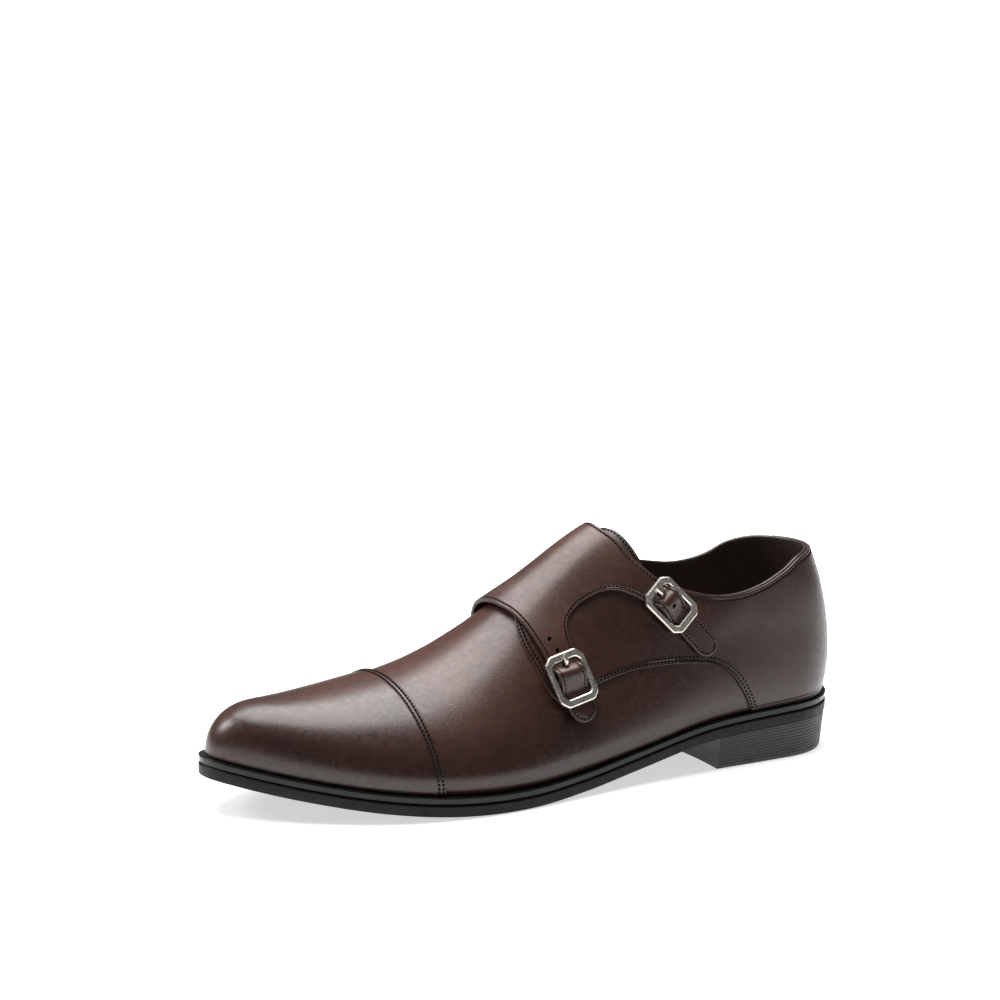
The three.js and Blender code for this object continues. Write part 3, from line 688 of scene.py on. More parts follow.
@dataclass
class CutPanel:
    """A panel cut to an outline of (at, girth) places and laid on the last."""

    last: Last
    outline: Array
    low: float
    thick: float
    edge: EdgeCut
    extra: Lift = flat_lift(0.0)
    spacing: float = 1.35
    holes: tuple[Triple, ...] = ()

    def distance(self, places: Array) -> Array:
        """Distance from places to the outline.

        Args:
            places: The places.

        Returns:
            The distances.
        """
        a = self.outline
        b = np.roll(a, -1, 0)
        run = b - a
        best = np.full(len(places), 1e9)
        for block in np.array_split(np.arange(len(places)), max(1, len(places) // 2000)):
            rel = places[block, None, :] - a[None]
            t = np.clip((rel * run).sum(-1) / np.maximum((run * run).sum(-1), 1e-12), 0, 1)
            best[block] = np.sqrt(((rel - t[..., None] * run) ** 2).sum(-1)).min(1)
        return best

    def inside(self, places: Array) -> Array:
        """Whether places lie inside the outline.

        Args:
            places: The places.

        Returns:
            One truth value each.
        """
        a = self.outline
        b = np.roll(a, -1, 0)
        x, y = places[:, 0][:, None], places[:, 1][:, None]
        crosses = (a[:, 1] > y) != (b[:, 1] > y)
        rise = np.where(b[:, 1] == a[:, 1], 1e-9, b[:, 1] - a[:, 1])
        where = (b[:, 0] - a[:, 0]) * (y - a[:, 1]) / rise + a[:, 0]
        return (crosses & (x < where)).sum(1) % 2 == 1

    def ring(self, inset: float, slack: float = 0.06) -> Array:
        """The outline moved inward, without the parts that would cross.

        Args:
            inset: How far.
            slack: How much nearer the outline a point may lie.

        Returns:
            Places of the ring, in order.
        """
        a = self.outline
        ahead = np.roll(a, -1, 0) - np.roll(a, 1, 0)
        ahead = unit(ahead)
        area = 0.5 * (a[:, 0] * np.roll(a[:, 1], -1) - np.roll(a[:, 0], -1) * a[:, 1]).sum()
        inward = np.stack([-ahead[:, 1], ahead[:, 0]], 1) * np.sign(area)
        moved = a + inward * inset
        keep = self.inside(moved) & (self.distance(moved) > inset - slack)
        return moved[keep]

    def surface(self, at: Array, girth: Array) -> Array:
        """Height of the panel's upper face over the last.

        Args:
            at: Places along.
            girth: Places round.

        Returns:
            The heights.
        """
        places = np.stack([np.ravel(at), np.ravel(girth)], 1)
        share = self.edge.share(self.distance(places)).reshape(np.shape(at))
        return self.low + self.thick * share + self.extra(at, girth)

    def build_into(self, shape: Shape, slot: int = 0, edge_slot: int = 1, hole_slot: int = 2) -> None:
        """Adds the panel's upper face, cut edge and under face.

        Args:
            shape: Where they are added.
            slot: Material slot of the face.
            edge_slot: Material slot of the cut edge.
            hole_slot: Material slot inside its punched holes, painted near-black as their shade.
        """
        insets = sorted({round(d, 3) for d, _ in self.edge.stops() if d > 0})
        rings = [self.outline] + [self.ring(d) for d in insets]
        deepest = max(insets) + 0.7
        low, high = self.outline.min(0), self.outline.max(0)
        rows = np.arange(low[0], high[0], self.spacing)
        columns = np.arange(low[1], high[1], self.spacing * 0.866)
        shifts = [(k % 2) * self.spacing / 2 for k in range(len(columns))]
        lattice = np.array([(a + shift, g) for shift, g in zip(shifts, columns) for a in rows])
        lattice = lattice[self.inside(lattice)]
        lattice = lattice[self.distance(lattice) > deepest]
        punched = []
        for at, girth, radius in self.holes:
            centre = np.array((at, girth))
            lattice = lattice[np.linalg.norm(lattice - centre, axis=1) > 2.0 * radius]
            for reach in (0.0, 0.55, 0.9, 1.0, 1.25, 1.7):
                turns = np.linspace(0, 2 * np.pi, 1 if reach == 0 else 14, endpoint=False)
                spots = np.stack([np.cos(turns), np.sin(turns)], 1)
                punched.append(centre + spots * reach * radius)
        places = np.concatenate(rings + [lattice] + punched)
        number = len(self.outline)
        edges = [(i, (i + 1) % number) for i in range(number)]
        found, _, faces, *_ = delaunay_2d_cdt([Vector(p) for p in places], edges, [], 0, 1e-4)
        found = np.array([tuple(p) for p in found])
        faces = np.array(faces)
        middles = found[faces].mean(1)
        faces = faces[self.inside(middles)]
        away = self.distance(found)
        share = np.where(away < 1e-3, self.edge.profile[1][1], self.edge.share(away))
        at, girth = found[:, 0], found[:, 1]
        across = self.last.across(at, girth)
        extra = self.extra(at, girth)
        dip = np.zeros(len(found))
        for hole in self.holes:
            near = np.linalg.norm(found - np.array(hole[:2]), axis=1) / hole[2]
            dip = np.maximum(dip, np.where(near < 0.95, 0.8, np.where(near < 1.1, 0.18, 0)))
        top = self.last.skin(at, across, self.low + self.thick * (share - dip) + extra)
        under = self.last.skin(at, across, self.low + extra)
        # Faces along the cut edge get the edge colour, partly a painted highlight.
        in_edge = (away[faces] < 0.12).all(1)
        # Faces inside a punched hole get the near-black painted shade.
        in_hole = np.zeros(len(faces), bool)
        for hole in self.holes:
            in_hole |= np.linalg.norm(found[faces].mean(1) - np.array(hole[:2]), axis=1) < hole[2]
        slots = np.where(in_hole, hole_slot, np.where(in_edge, edge_slot, slot))
        shape.add(top, faces[:, ::-1], slots)
        shape.add(under, faces, slot)
        wall_at, wall_girth = self.outline[:, 0], self.outline[:, 1]
        wall_across = self.last.across(wall_at, wall_girth)
        wall_extra = self.extra(wall_at, wall_girth)
        shares = (0.0, 0.3, self.edge.profile[1][1])
        lifts = [self.low + self.thick * share + wall_extra for share in shares]
        wall = [self.last.skin(wall_at, wall_across, lift) for lift in lifts]
        area = 0.5 * (wall_at * np.roll(wall_girth, -1) - np.roll(wall_at, -1) * wall_girth).sum()
        shape.grid(np.stack(wall, 1), turned=area < 0, slot=edge_slot, wrap=True)


@dataclass
class QuadPanel:
    """A panel stretched between four edges, each a curve of (at, girth) places.

    The top and bottom edges run with u, the left and right edges with v, from the top down.
    """

    last: Last
    top: Array
    bottom: Array
    left: Array
    right: Array
    low: float
    thick: float
    cuts: tuple[EdgeCut | None, EdgeCut | None, EdgeCut | None, EdgeCut | None]
    columns: int = 120
    rows: int = 70

    def _metric(self, places: Array) -> Array:
        """Spaces a boundary's places evenly over the leather itself.

        Args:
            places: The boundary.

        Returns:
            The spaced places.
        """
        fine = along(places, 400)
        spots = self.last.point(fine[:, 0], self.last.across(fine[:, 0], fine[:, 1]))
        gone = travelled(spots)
        marks = np.linspace(0, gone[-1], 400)
        return np.stack([np.interp(marks, gone, fine[:, k]) for k in range(2)], 1)

    @staticmethod
    def _stops(
        first: EdgeCut | None, last: EdgeCut | None, size: float, count: int
    ) -> tuple[Array, Array, Array]:
        """Lines across a size.

        Args:
            first: The cut edge it starts at, if any.
            last: The cut edge it ends at, if any.
            size: How far across.
            count: Lines between the two edges' own.

        Returns:
            Their places from 0 to 1, thickness shares, and distances from a cut edge.
        """
        square = [(0, 0), (0, 1)]
        head = [(d / size, share, d) for d, share in (first.stops() if first else square)]
        tail = [(1 - d / size, share, d) for d, share in (last.stops() if last else square)][::-1]
        start, end = head[-1][0], tail[0][0]
        inner = np.linspace(start, end, count + 2)[1:-1]
        whole = head + [(p, 1.0, 99.0) for p in inner] + tail
        return tuple(np.array([row[k] for row in whole]) for k in range(3))

    def grid(self) -> tuple[Array, Array, Array, Array]:
        """Lines of the panel: (at, girth) places, thickness shares and nearness to a cut edge.

        Returns:
            Arrays of at, girth, share and distance from the nearest cut edge.
        """
        sides = [self._metric(side) for side in (self.top, self.bottom, self.left, self.right)]
        top, bottom, left, right = sides

        def size(side: Array) -> float:
            """Length of one side over the last."""
            spots = self.last.point(side[:, 0], self.last.across(side[:, 0], side[:, 1]))
            return float(np.linalg.norm(np.diff(spots, axis=0), axis=1).sum())

        wide = (size(top) + size(bottom)) / 2
        tall = (size(left) + size(right)) / 2
        u, share_u, near_u = self._stops(self.cuts[2], self.cuts[3], wide, self.columns)
        v, share_v, near_v = self._stops(self.cuts[0], self.cuts[1], tall, self.rows)
        marks = np.linspace(0, 1, 400)

        def pick(side: Array, t: Array) -> Array:
            """Places part of the way along a side."""
            return np.stack([np.interp(t, marks, side[:, k]) for k in range(2)], -1)

        uu, vv = np.meshgrid(u, v, indexing="ij")
        place = (
            (1 - vv)[..., None] * pick(top, uu)
            + vv[..., None] * pick(bottom, uu)
            + (1 - uu)[..., None] * pick(left, vv)
            + uu[..., None] * pick(right, vv)
            - ((1 - uu) * (1 - vv))[..., None] * top[0]
            - (uu * (1 - vv))[..., None] * top[-1]
            - ((1 - uu) * vv)[..., None] * bottom[0]
            - (uu * vv)[..., None] * bottom[-1]
        )
        share = np.minimum(share_u[:, None], share_v[None, :])
        near = np.minimum(near_u[:, None], near_v[None, :])
        return place[..., 0], place[..., 1], share, near

    def build_into(self, shape: Shape, turned: bool = False, slot: int = 0, edge_slot: int = 1) -> None:
        """Adds the panel.

        Args:
            shape: Where it is added.
            turned: Whether its faces are turned round, for the inner side.
            slot: Material slot of the face.
            edge_slot: Material slot of the cut edge.
        """
        at, girth, share, near = self.grid()
        across = self.last.across(at, girth)
        top = self.last.skin(at, across, self.low + self.thick * share)
        cell = np.maximum.reduce([near[:-1, :-1], near[1:, :-1], near[1:, 1:], near[:-1, 1:]])
        shape.grid(top, turned=turned, slot=np.where(cell < 0.12, edge_slot, slot))
        under = self.last.skin(at, across, self.low)
        shape.grid(under, turned=not turned, slot=slot)


# ---- the shoe's upper ----
@dataclass
class Upper:
    """The closed upper: vamp and lining, quarters, toe cap and backstay."""

    last: Last
    quarter_thick: float = 0.9
    cap_edge: float = 223.0
    cap_sweep: float = 4.0
    cap_thick: float = 1.1
    backstay_top: float = 15.0
    backstay_foot: float = 11.0
    arc: tuple[tuple[float, float], ...] = (
        (158.5, 63),
        (152, 64.3),
        (138.5, 65.6),
        (122, 70.2),
        (112.7, 72.8),
        (103.5, 74.9),
        (94.2, 76.9),
        (84.8, 79.4),
        (78.3, 82.2),
        (71.8, 87.2),
        (66.3, 94.1),
        (62.5, 101),
    )
    arc_foot: float = 57.0
    lap_rows: tuple[float, float] = (1.0, 2.6)
    cap_rows: tuple[float, float] = (1.2, 3.0)
    collar_row: float = 1.9
    facing: tuple[tuple[float, float], ...] = (
        (161.5, 2.5),
        (164.5, 9),
        (167.2, 16),
        (168.8, 21.5),
        (169, 30.4),
        (167, 41),
        (165.4, 48),
        (163.2, 55),
        (158.5, 63),
    )

    def vamp(self) -> Object:
        """The vamp and the lining behind it, one hollow skin with a rolled collar.

        Returns:
            The vamp.
        """
        shape = Shape()
        last = self.last
        columns = np.unique(
            np.concatenate(
                [
                    last.length * (1 - np.cos(np.pi * np.linspace(0, 1, 170))) / 2,
                    np.linspace(last.throat_tip - 8, last.throat_tip, 12),
                ]
            )
        )
        columns = columns[(np.abs(columns - last.throat_tip) > 0.4) | (columns == last.throat_tip)]
        rows = 46
        for side in (-1, 1):
            edge = last.opening(columns, side)[:, None]
            share = np.linspace(0, 1, rows + 1)[None, :]
            across = edge + (1 - edge) * share
            at = np.broadcast_to(columns[:, None], across.shape)
            outer = last.skin(at, side * across, 0.0)
            inner = last.skin(at, side * across, -WALL)
            shape.grid(outer, turned=side < 0)
            shape.grid(inner, turned=side > 0, slot=1)
            open_count = int(np.searchsorted(columns, last.throat_tip)) + 1
            turn = np.linspace(0, np.pi, 7)
            roll = []
            for angle in turn:
                middle = (outer[:open_count, 0] + inner[:open_count, 0]) / 2
                half = (outer[:open_count, 0] - inner[:open_count, 0]) / 2
                upward = outer[:open_count, 0] - outer[:open_count, 1]
                upward = unit(upward)
                fade = np.clip(edge[:open_count] * 12, 0, 1)
                roll.append(middle + half * math.cos(angle) + upward * fade * math.sin(angle) * WALL * 0.42)
            shape.grid(np.stack(roll, 1), turned=side > 0, slot=2)
            foot = np.stack([outer[:, -1], inner[:, -1]], 1)
            shape.grid(foot, turned=side < 0, slot=1)
        return shape.build("vamp_and_lining", [Finish.UPPER, Finish.LINING, Finish.DARK])

    def _quarter_edges(self, side: int) -> tuple[Array, Array, Array, Array]:
        """Top, bottom, back and front edges of a quarter, as (at, girth) places.

        Args:
            side: 1 on the outer side, -1 on the inner.

        Returns:
            The four edges.
        """
        last = self.last
        facing = curve_through(self.facing, 120)
        arc = curve_through([*self.arc, (self.arc_foot, float(last.whole_girth(self.arc_foot, 1)))], 160)
        if side < 0:
            facing = facing * (1, 1) + (-6.0, 0)
        corner_top = facing[0]
        ats = np.concatenate([np.linspace(0, 1, 30) ** 2 * 10, np.linspace(10, corner_top[0], 160)[1:]])
        top = np.stack([ats, last.girth(ats, last.opening(ats, 1 if side > 0 else -1) * side) * side], 1)
        top[-1] = corner_top
        blend = ease((top[:, 0] - corner_top[0] + 12) / 12)[:, None]
        top[:, 1:] = top[:, 1:] * (1 - blend) + corner_top[1] * blend
        if side < 0:
            arc = arc + (facing[-1] - arc[0]) * np.linspace(1, 0, len(arc))[:, None]
        foot_at = np.concatenate([np.linspace(0, 1, 30) ** 2 * 8, np.linspace(8, self.arc_foot, 60)[1:]])
        foot = np.stack([foot_at, last.whole_girth(foot_at, side)], 1)
        arc[-1] = foot[-1]
        bottom = np.concatenate([foot, arc[::-1][1:]])
        left = np.stack([np.zeros(60), np.linspace(top[0, 1], foot[0, 1], 60)], 1)
        return top, bottom, left, facing

    def quarters(self, stitches: Stitching) -> list[Object]:
        """The two quarters, lapped over the vamp, and their stitching.

        Args:
            stitches: Takes the rows of stitches.

        Returns:
            The outer and the inner quarter.
        """
        made = []
        for side, name in ((1, "outer_quarter"), (-1, "inner_quarter")):
            shape = Shape()
            sign = np.array([1, side])
            edges = [places * sign for places in self._quarter_edges(side)]
            lapped = EdgeCut(seams=self.lap_rows)
            rolled = ((0, 0), (0, 0.5), (0.15, 0.85), (0.45, 0.97), (0.9, 1.0))
            topline = EdgeCut(profile=rolled, seams=(self.collar_row,))
            panel = QuadPanel(
                self.last,
                *edges,
                low=-0.04,
                thick=self.quarter_thick,
                cuts=(topline, lapped, None, lapped),
                columns=150,
                rows=80,
            )
            panel.build_into(shape, turned=side < 0)
            made.append(shape.build(name, [Finish.UPPER, Finish.EDGE]))
            self._stitch_quarter(edges, stitches)
        return made

    def _stitch_quarter(self, edges: list[Array], stitches: Stitching) -> None:
        """Two rows along the lapped edges and one along the topline.

        Args:
            edges: The quarter's four edges.
            stitches: Takes the rows.
        """
        top, bottom, _, right = edges
        lift = flat_lift(self.quarter_thick * 0.9 - 0.04)
        arc = bottom[bottom[:, 0] > self.arc_foot + 0.5][: -1]
        for inset in self.lap_rows:
            stitches.row(inward(arc, inset, np.sign(arc[0, 1])), lift)
            stitches.row(inward(right[::-1], inset, np.sign(arc[0, 1]))[6:], lift)
        collar = top[top[:, 0] < self.last.throat_top + 8]
        stitches.row(inward(collar[::-1], self.collar_row, np.sign(arc[0, 1])), lift)

    def toe_cap(self, stitches: Stitching) -> Object:
        """The toe cap, with two rows of stitches before its rear edge.

        Args:
            stitches: Takes the two rows.

        Returns:
            The cap.
        """
        shape = Shape()
        cut = EdgeCut(seams=self.cap_rows)
        stops = np.array(cut.stops())
        run = np.concatenate([stops[:, 0], np.linspace(stops[-1, 0], self.last.length, 90)[1:]])
        share = np.concatenate([stops[:, 1], np.ones(89)])
        across = np.linspace(-1, 1, 181)
        start = self.cap_edge - self.cap_sweep * across**2
        tail = run[len(stops) :] - stops[-1, 0]
        tail = tail / tail[-1]
        at = np.empty((len(run), len(across)))
        at[: len(stops)] = start + stops[:, :1]
        base = start + stops[-1, 0]
        at[len(stops) :] = base + (self.last.length - base) * np.sin(np.pi / 2 * tail)[:, None]
        grid = np.broadcast_to(across, at.shape)
        low = -0.05
        top = self.last.skin(at, grid, low + self.cap_thick * share[:, None])
        near = np.concatenate([stops[:, 0], np.full(89, 99.0)])
        cell = np.maximum(near[:-1], near[1:])[:, None] * np.ones(len(across) - 1)
        shape.grid(top, slot=np.where(cell < 0.12, 1, 0))
        under = self.last.skin(at, grid, low)
        shape.grid(under, turned=True)
        shape.grid(np.stack([top[:, 0], under[:, 0]], 1))
        shape.grid(np.stack([top[:, -1], under[:, -1]], 1), turned=True)
        lift = flat_lift(low + self.cap_thick * 0.9)
        for inset in self.cap_rows:
            line_at = start + inset
            line = np.stack([line_at, self.last.girth(line_at, across * 0.995)], 1)
            stitches.row(line, lift)
        return shape.build("toe_cap_leather", [Finish.CAP, Finish.EDGE])

    def backstay(self) -> Object:
        """The narrow strip over the back seam.

        Returns:
            The strip.
        """
        shape = Shape()
        low = self.quarter_thick - 0.08
        thick = 0.7
        places = np.linspace(0, 40, 4001)
        gone = travelled(self.last.point(places, 0.8))
        half = self.backstay_top + (self.backstay_foot - self.backstay_top) * np.linspace(0, 1, 60)
        stops = np.array(EdgeCut(seams=(1.4,)).stops())
        inner = np.linspace(1, 0, 16)[1:]
        rows = []
        shares = np.concatenate([stops[:, 1], np.ones(15)])
        for width in half:
            reach = np.concatenate([width - stops[:, 0], (width - stops[-1, 0]) * inner])
            rows.append(np.interp(reach, gone, places))
        at = np.array(rows)
        for side in (-1, 1):
            edge = self.last.opening(at, side)
            down = np.linspace(0, 1, 60)[:, None]
            across = (edge + (1 - edge) * down) * side
            fade = np.minimum(shares[None, :], np.where(down < 1e-6, 0.4, 1.0))
            top = self.last.skin(at, across, low + thick * fade)
            under = self.last.skin(at, across, low - 0.2)
            shape.grid(top, turned=side > 0)
            shape.grid(under, turned=side < 0)
            shape.grid(np.stack([under[:, 0], top[:, 0]], 1), turned=side > 0, slot=1)
            shape.grid(np.stack([top[0], under[0]], 1), turned=side < 0, slot=1)
            shape.grid(np.stack([top[-1], under[-1]], 1), turned=side > 0, slot=1)
        return shape.build("backstay_strip", [Finish.DARK, Finish.EDGE])


def inward(places: Array, inset: float, side: float) -> Array:
    """Moves a line of (at, girth) places sideways, up the leather for a line that runs toeward.

    Args:
        places: The line.
        inset: How far.
        side: 1 on the outer side, -1 on the inner.

    Returns:
        The moved line.
    """
    ahead = np.gradient(places, axis=0)
    ahead = unit(ahead)
    return places + np.stack([ahead[:, 1], -ahead[:, 0]], 1) * inset * side


@dataclass
class Tongue:
    """The tongue, whose rounded top shows behind the flap."""

    last: Last
    top: float = 113.5
    foot: float = 172.0
    wide: float = 0.45
    slope: float = 8.5
    bend: float = 1.3
    thick: float = 1.6
    outside: float = -3.1

    def build(self, stitches: Stitching) -> Object:
        """Makes the tongue.

        Args:
            stitches: Takes the row near its edge.

        Returns:
            The tongue.
        """
        shape = Shape()
        side = np.linspace(-1, 1, 61)
        rolled = np.array([(0, 0), (0, 0.5), (0.2, 0.85), (0.6, 1.0)])
        run = np.concatenate([rolled[:, 0], np.linspace(1.5, self.foot - self.top, 50)])
        share = np.concatenate([rolled[:, 1], np.ones(50)])
        start = self.top - self.slope * np.abs(side) ** self.bend
        at = start + (self.foot - start) * (run / run[-1])[:, None]
        across = np.broadcast_to(side * self.wide, at.shape)
        low = self.outside - self.thick
        flank = np.interp(1 - np.abs(side), [0, 0.015, 0.05], [0.3, 0.8, 1.0])
        both = np.minimum(share[:, None], flank[None, :])
        shape.grid(self.last.skin(at, across, low + self.thick * both))
        shape.grid(self.last.skin(at, across, np.full(at.shape, low)), turned=True)
        for j, turned in ((0, False), (-1, True)):
            upper = self.last.skin(at[:, j], across[:, j], low + self.thick * both[:, j])
            lower = self.last.skin(at[:, j], across[:, j], low)
            shape.grid(np.stack([upper, lower], 1), turned=turned)
        upper = self.last.skin(at[-1], across[-1], low + self.thick * both[-1])
        lower = self.last.skin(at[-1], across[-1], low)
        shape.grid(np.stack([upper, lower], 1), turned=False)
        inset = np.abs(side) < 0.93
        edge = np.stack([start + 1.8, self.last.girth(start + 1.8, side * self.wide)], 1)[inset]
        stitches.row(edge, flat_lift(self.outside - 0.05))
        return shape.build("tongue_leather", [Finish.DARK])


# ---- buckles and flap ----
@dataclass
class Buckle:
    """One buckle: where it sits on the last, and its frame, prong and tab."""

    last: Last
    name: str
    at: float
    girth: float
    to_at: float
    to_girth: float
    width: float
    length: float
    strap_half: float
    strap_tip: float
    bar: float = 2.7
    end: float = 3.5
    deep: float = 1.5
    lift: float = 3.5
    cut: float = 3.2
    bar_radius: float = 0.6
    bar_height: float = 3.0
    hump: float = 5.6
    hump_up: float = 2.6
    hump_above: float = 5.6
    hump_below: float = 10.9
    tab_clear: float = 1.4
    tab_reach: float = 8.6
    prong_radius: float = 1.0
    slot: float = 6.1

    def __post_init__(self) -> None:
        """Finds the buckle's own axes: x across the strap, y up it, z out of the leather."""
        middle = self.last.across(self.at, self.girth)
        self.origin = self.last.point(self.at, middle).reshape(3)
        z = self.last.normal(np.array(self.at), middle).reshape(3)

        def strap_point(way: float) -> Array:
            """A point of the strap's middle line on the last.

            Args:
                way: How far along the strap, 1 at the point it goes to.

            Returns:
                The point.
            """
            at = self.at + way * (self.to_at - self.at)
            girth = self.girth + way * (self.to_girth - self.girth)
            return self.last.point(at, self.last.across(at, girth)).reshape(3)

        y = strap_point(1) - strap_point(-1)
        y /= np.linalg.norm(y)
        z = z - y * (z @ y)
        z /= np.linalg.norm(z)
        self.axes = np.stack([np.cross(y, z), y, z])

    def place(self, local: Array) -> Array:
        """Points of the buckle's own axes, in the frame."""
        return self.origin + local @ self.axes

    def local(self, points: Array) -> Array:
        """Points of the frame, in the buckle's own axes."""
        return (points - self.origin) @ self.axes.T

    def under(self, x: Array, y: Array) -> tuple[Array, Array, Array]:
        """The leather under points of the buckle's plane.

        Args:
            x: Places across the strap.
            y: Places up it.

        Returns:
            Arrays of at, across and height over the buckle's plane.
        """
        x, y = np.broadcast_arrays(np.asarray(x, float), np.asarray(y, float))
        at = np.full(x.shape, self.at)
        across = np.full(x.shape, float(self.last.across(self.at, self.girth)))
        step_at, step_across = 0.01, 1e-4
        for _ in range(12):
            here = self.local(self.last.point(at, across))
            by_at = (self.local(self.last.point(at + step_at, across)) - here) / step_at
            by_across = (self.local(self.last.point(at, across + step_across)) - here) / step_across
            miss_x, miss_y = here[..., 0] - x, here[..., 1] - y
            area = by_at[..., 0] * by_across[..., 1] - by_across[..., 0] * by_at[..., 1]
            at = at - (miss_x * by_across[..., 1] - by_across[..., 0] * miss_y) / area
            across = across - (by_at[..., 0] * miss_y - miss_x * by_at[..., 1]) / area
        return at, across, self.local(self.last.point(at, across))[..., 2]

    def places(self, x: Array, y: Array) -> Array:
        """(at, girth) places under points of the buckle's plane."""
        at, across, _ = self.under(x, y)
        return np.stack([at, self.last.girth(at, across)], -1)

    def strap_lift(self, at: Array, girth: Array) -> Array:
        """How far the strap rises over the bar and the tab.

        Args:
            at: Places along.
            girth: Places round.

        Returns:
            Millimetres outward.
        """
        spots = self.local(self.last.point(at, self.last.across(at, girth)))
        above = spots[..., 1] - self.hump_up
        near = np.clip(np.where(above > 0, above / self.hump_above, -above / self.hump_below), 0, 1)
        crown = 1 - 0.12 * (spots[..., 0] / self.strap_half) ** 2
        hump = (self.hump - 0.5) * crown * np.cos(np.pi / 2 * near) ** 2
        over_tab = (self.tab_clear - 0.5) * ease(1 - spots[..., 1] / self.tab_reach)
        mine = np.abs(spots[..., 0]) < self.strap_half + 2.5
        return np.where(mine, np.maximum(hump, over_tab), 0.0)

    def _ring(self, width: float, length: float, cut: float, soft: float) -> Array:
        """A rectangle with cut, slightly rounded corners, in the buckle's plane.

        Args:
            width: Its width.
            length: Its length.
            cut: Size of the cut corners.
            soft: How far their ends are rounded.

        Returns:
            Its points.
        """
        w, l = width / 2, length / 2
        corners = [(w - cut, -l), (w, -l + cut), (w, l - cut), (w - cut, l)]
        corners += [(-x, y) for x, y in reversed(corners)]
        points = []
        ring = np.array(corners)
        for i, corner in enumerate(ring):
            before, after = ring[i - 1], ring[(i + 1) % len(ring)]
            a = corner + (before - corner) / np.linalg.norm(before - corner) * soft
            b = corner + (after - corner) / np.linalg.norm(after - corner) * soft
            for t in np.linspace(0, 1, 6):
                points.append((1 - t) ** 2 * a + 2 * t * (1 - t) * corner + t**2 * b)
        return np.array(points)

    def frame(self) -> Object:
        """The bevelled frame with its centre bar.

        Returns:
            The frame.
        """
        shape = Shape()
        rise, bevel = self.deep, 0.55
        soft = 1.2 if self.name == "front" else 0.6
        flank = [(0.12, 0.0), (0.0, 0.12), (0.0, rise - bevel), (0.08, rise - bevel * 0.6), (bevel, rise)]
        profile = [(0, inset, up) for inset, up in flank] + [(1, inset, up) for inset, up in flank[::-1]]
        rows = []
        for inner, inset, up in [*profile, profile[0]]:
            aside, along_it = ((self.bar - inset, self.end - inset) if inner else (inset, inset))
            wide, tall = self.width - 2 * aside, self.length - 2 * along_it
            ring = self._ring(wide, tall, self.cut - aside * 0.586, soft * (1 - aside * 0.1))
            rows.append(np.column_stack([ring, np.full(len(ring), self.lift + up)]))
        sides = self.place(np.stack(rows, 1))
        shape.grid(sides, turned=False, wrap=True)
        ends = np.linspace(-self.width / 2 + self.bar / 2, self.width / 2 - self.bar / 2, 9)
        path = np.column_stack([ends, np.zeros(9), np.full(9, self.bar_height)])
        tube(shape, self.place(path), np.full(9, self.bar_radius), sides=14)
        return shape.build(f"buckle_{self.name}_frame", [Finish.NICKEL], crisp=28.0)

    def prong(self) -> Object:
        """The prong: an eye round the bar, and a shaft through the strap to the frame's top.

        Returns:
            The prong.
        """
        shape = Shape()
        top = (self.length - self.end) / 2
        rest = self.lift + self.deep + self.prong_radius * 0.75
        rows = [
            (0.9, self.bar_height + 0.6),
            (3.0, self.bar_height + 0.7),
            (self.slot - 1.1, self.bar_height + 0.5),
            (self.slot + 0.3, self.bar_height + 1.9),
            (self.slot + 1.9, rest + 0.1),
            (top, rest),
            (top + 0.5, rest - 0.05),
        ]
        line = np.array([(0.0, y, z) for y, z in rows])
        path = along(rounded(along(line, 40), 3), 34)
        radius = np.full(34, self.prong_radius)
        radius[-2:] *= (0.98, 0.86)
        tube(shape, self.place(path), radius, sides=14)
        turns = np.linspace(0, 2 * np.pi, 25)
        eye = np.column_stack([np.zeros(25), np.cos(turns) * 1.15, self.bar_height + np.sin(turns) * 1.15])
        tube(shape, self.place(eye), np.full(25, 0.42), sides=10)
        return shape.build(f"buckle_{self.name}_prong", [Finish.NICKEL])

    def tab(self) -> Object:
        """The leather tab folded round the bar, its tail under the strap's end.

        Returns:
            The tab.
        """
        shape = Shape()
        thick, hole = 0.75, self.bar_radius + 0.1
        loop = hole + thick
        turns = np.linspace(-np.pi / 2, np.pi, 22)
        outer = [(math.cos(t) * loop, self.bar_height + math.sin(t) * loop) for t in turns]
        inner = [(math.cos(t) * hole, self.bar_height + math.sin(t) * hole) for t in turns]
        tail = [(-loop - 1.0, 0.5 + thick), (-5.0, 0.3 + thick), (-13.0, 0.3 + thick)]
        low = [(-hole - 0.6, 0.3), (-5.0, 0.3), (-13.0, 0.3)]
        top_line = np.array(outer + tail)
        under_line = np.array(inner + low)
        half = (self.width - 2 * self.bar - 1.6) / 2
        for first, final in ((-half, -1.1), (1.1, half)):
            xs = np.linspace(first, final, 7)
            sheets = []
            for line in (top_line, under_line):
                x, y = np.meshgrid(xs, line[:, 0], indexing="ij")
                z = np.broadcast_to(line[:, 1], x.shape)
                drop = ease(-y / 4.3) * self.under(x, y)[2]
                sheets.append(self.place(np.stack([x, y, z + drop], -1)))
            top, under = sheets
            shape.grid(top)
            shape.grid(under, turned=True)
            for edge in (0, -1):
                shape.grid(np.stack([under[edge], top[edge]], 0), turned=edge == -1, slot=1)
                shape.grid(np.stack([under[:, edge], top[:, edge]], 1), turned=edge == 0, slot=1)
        return shape.build(f"buckle_{self.name}_tab", [Finish.STRAP, Finish.EDGE])


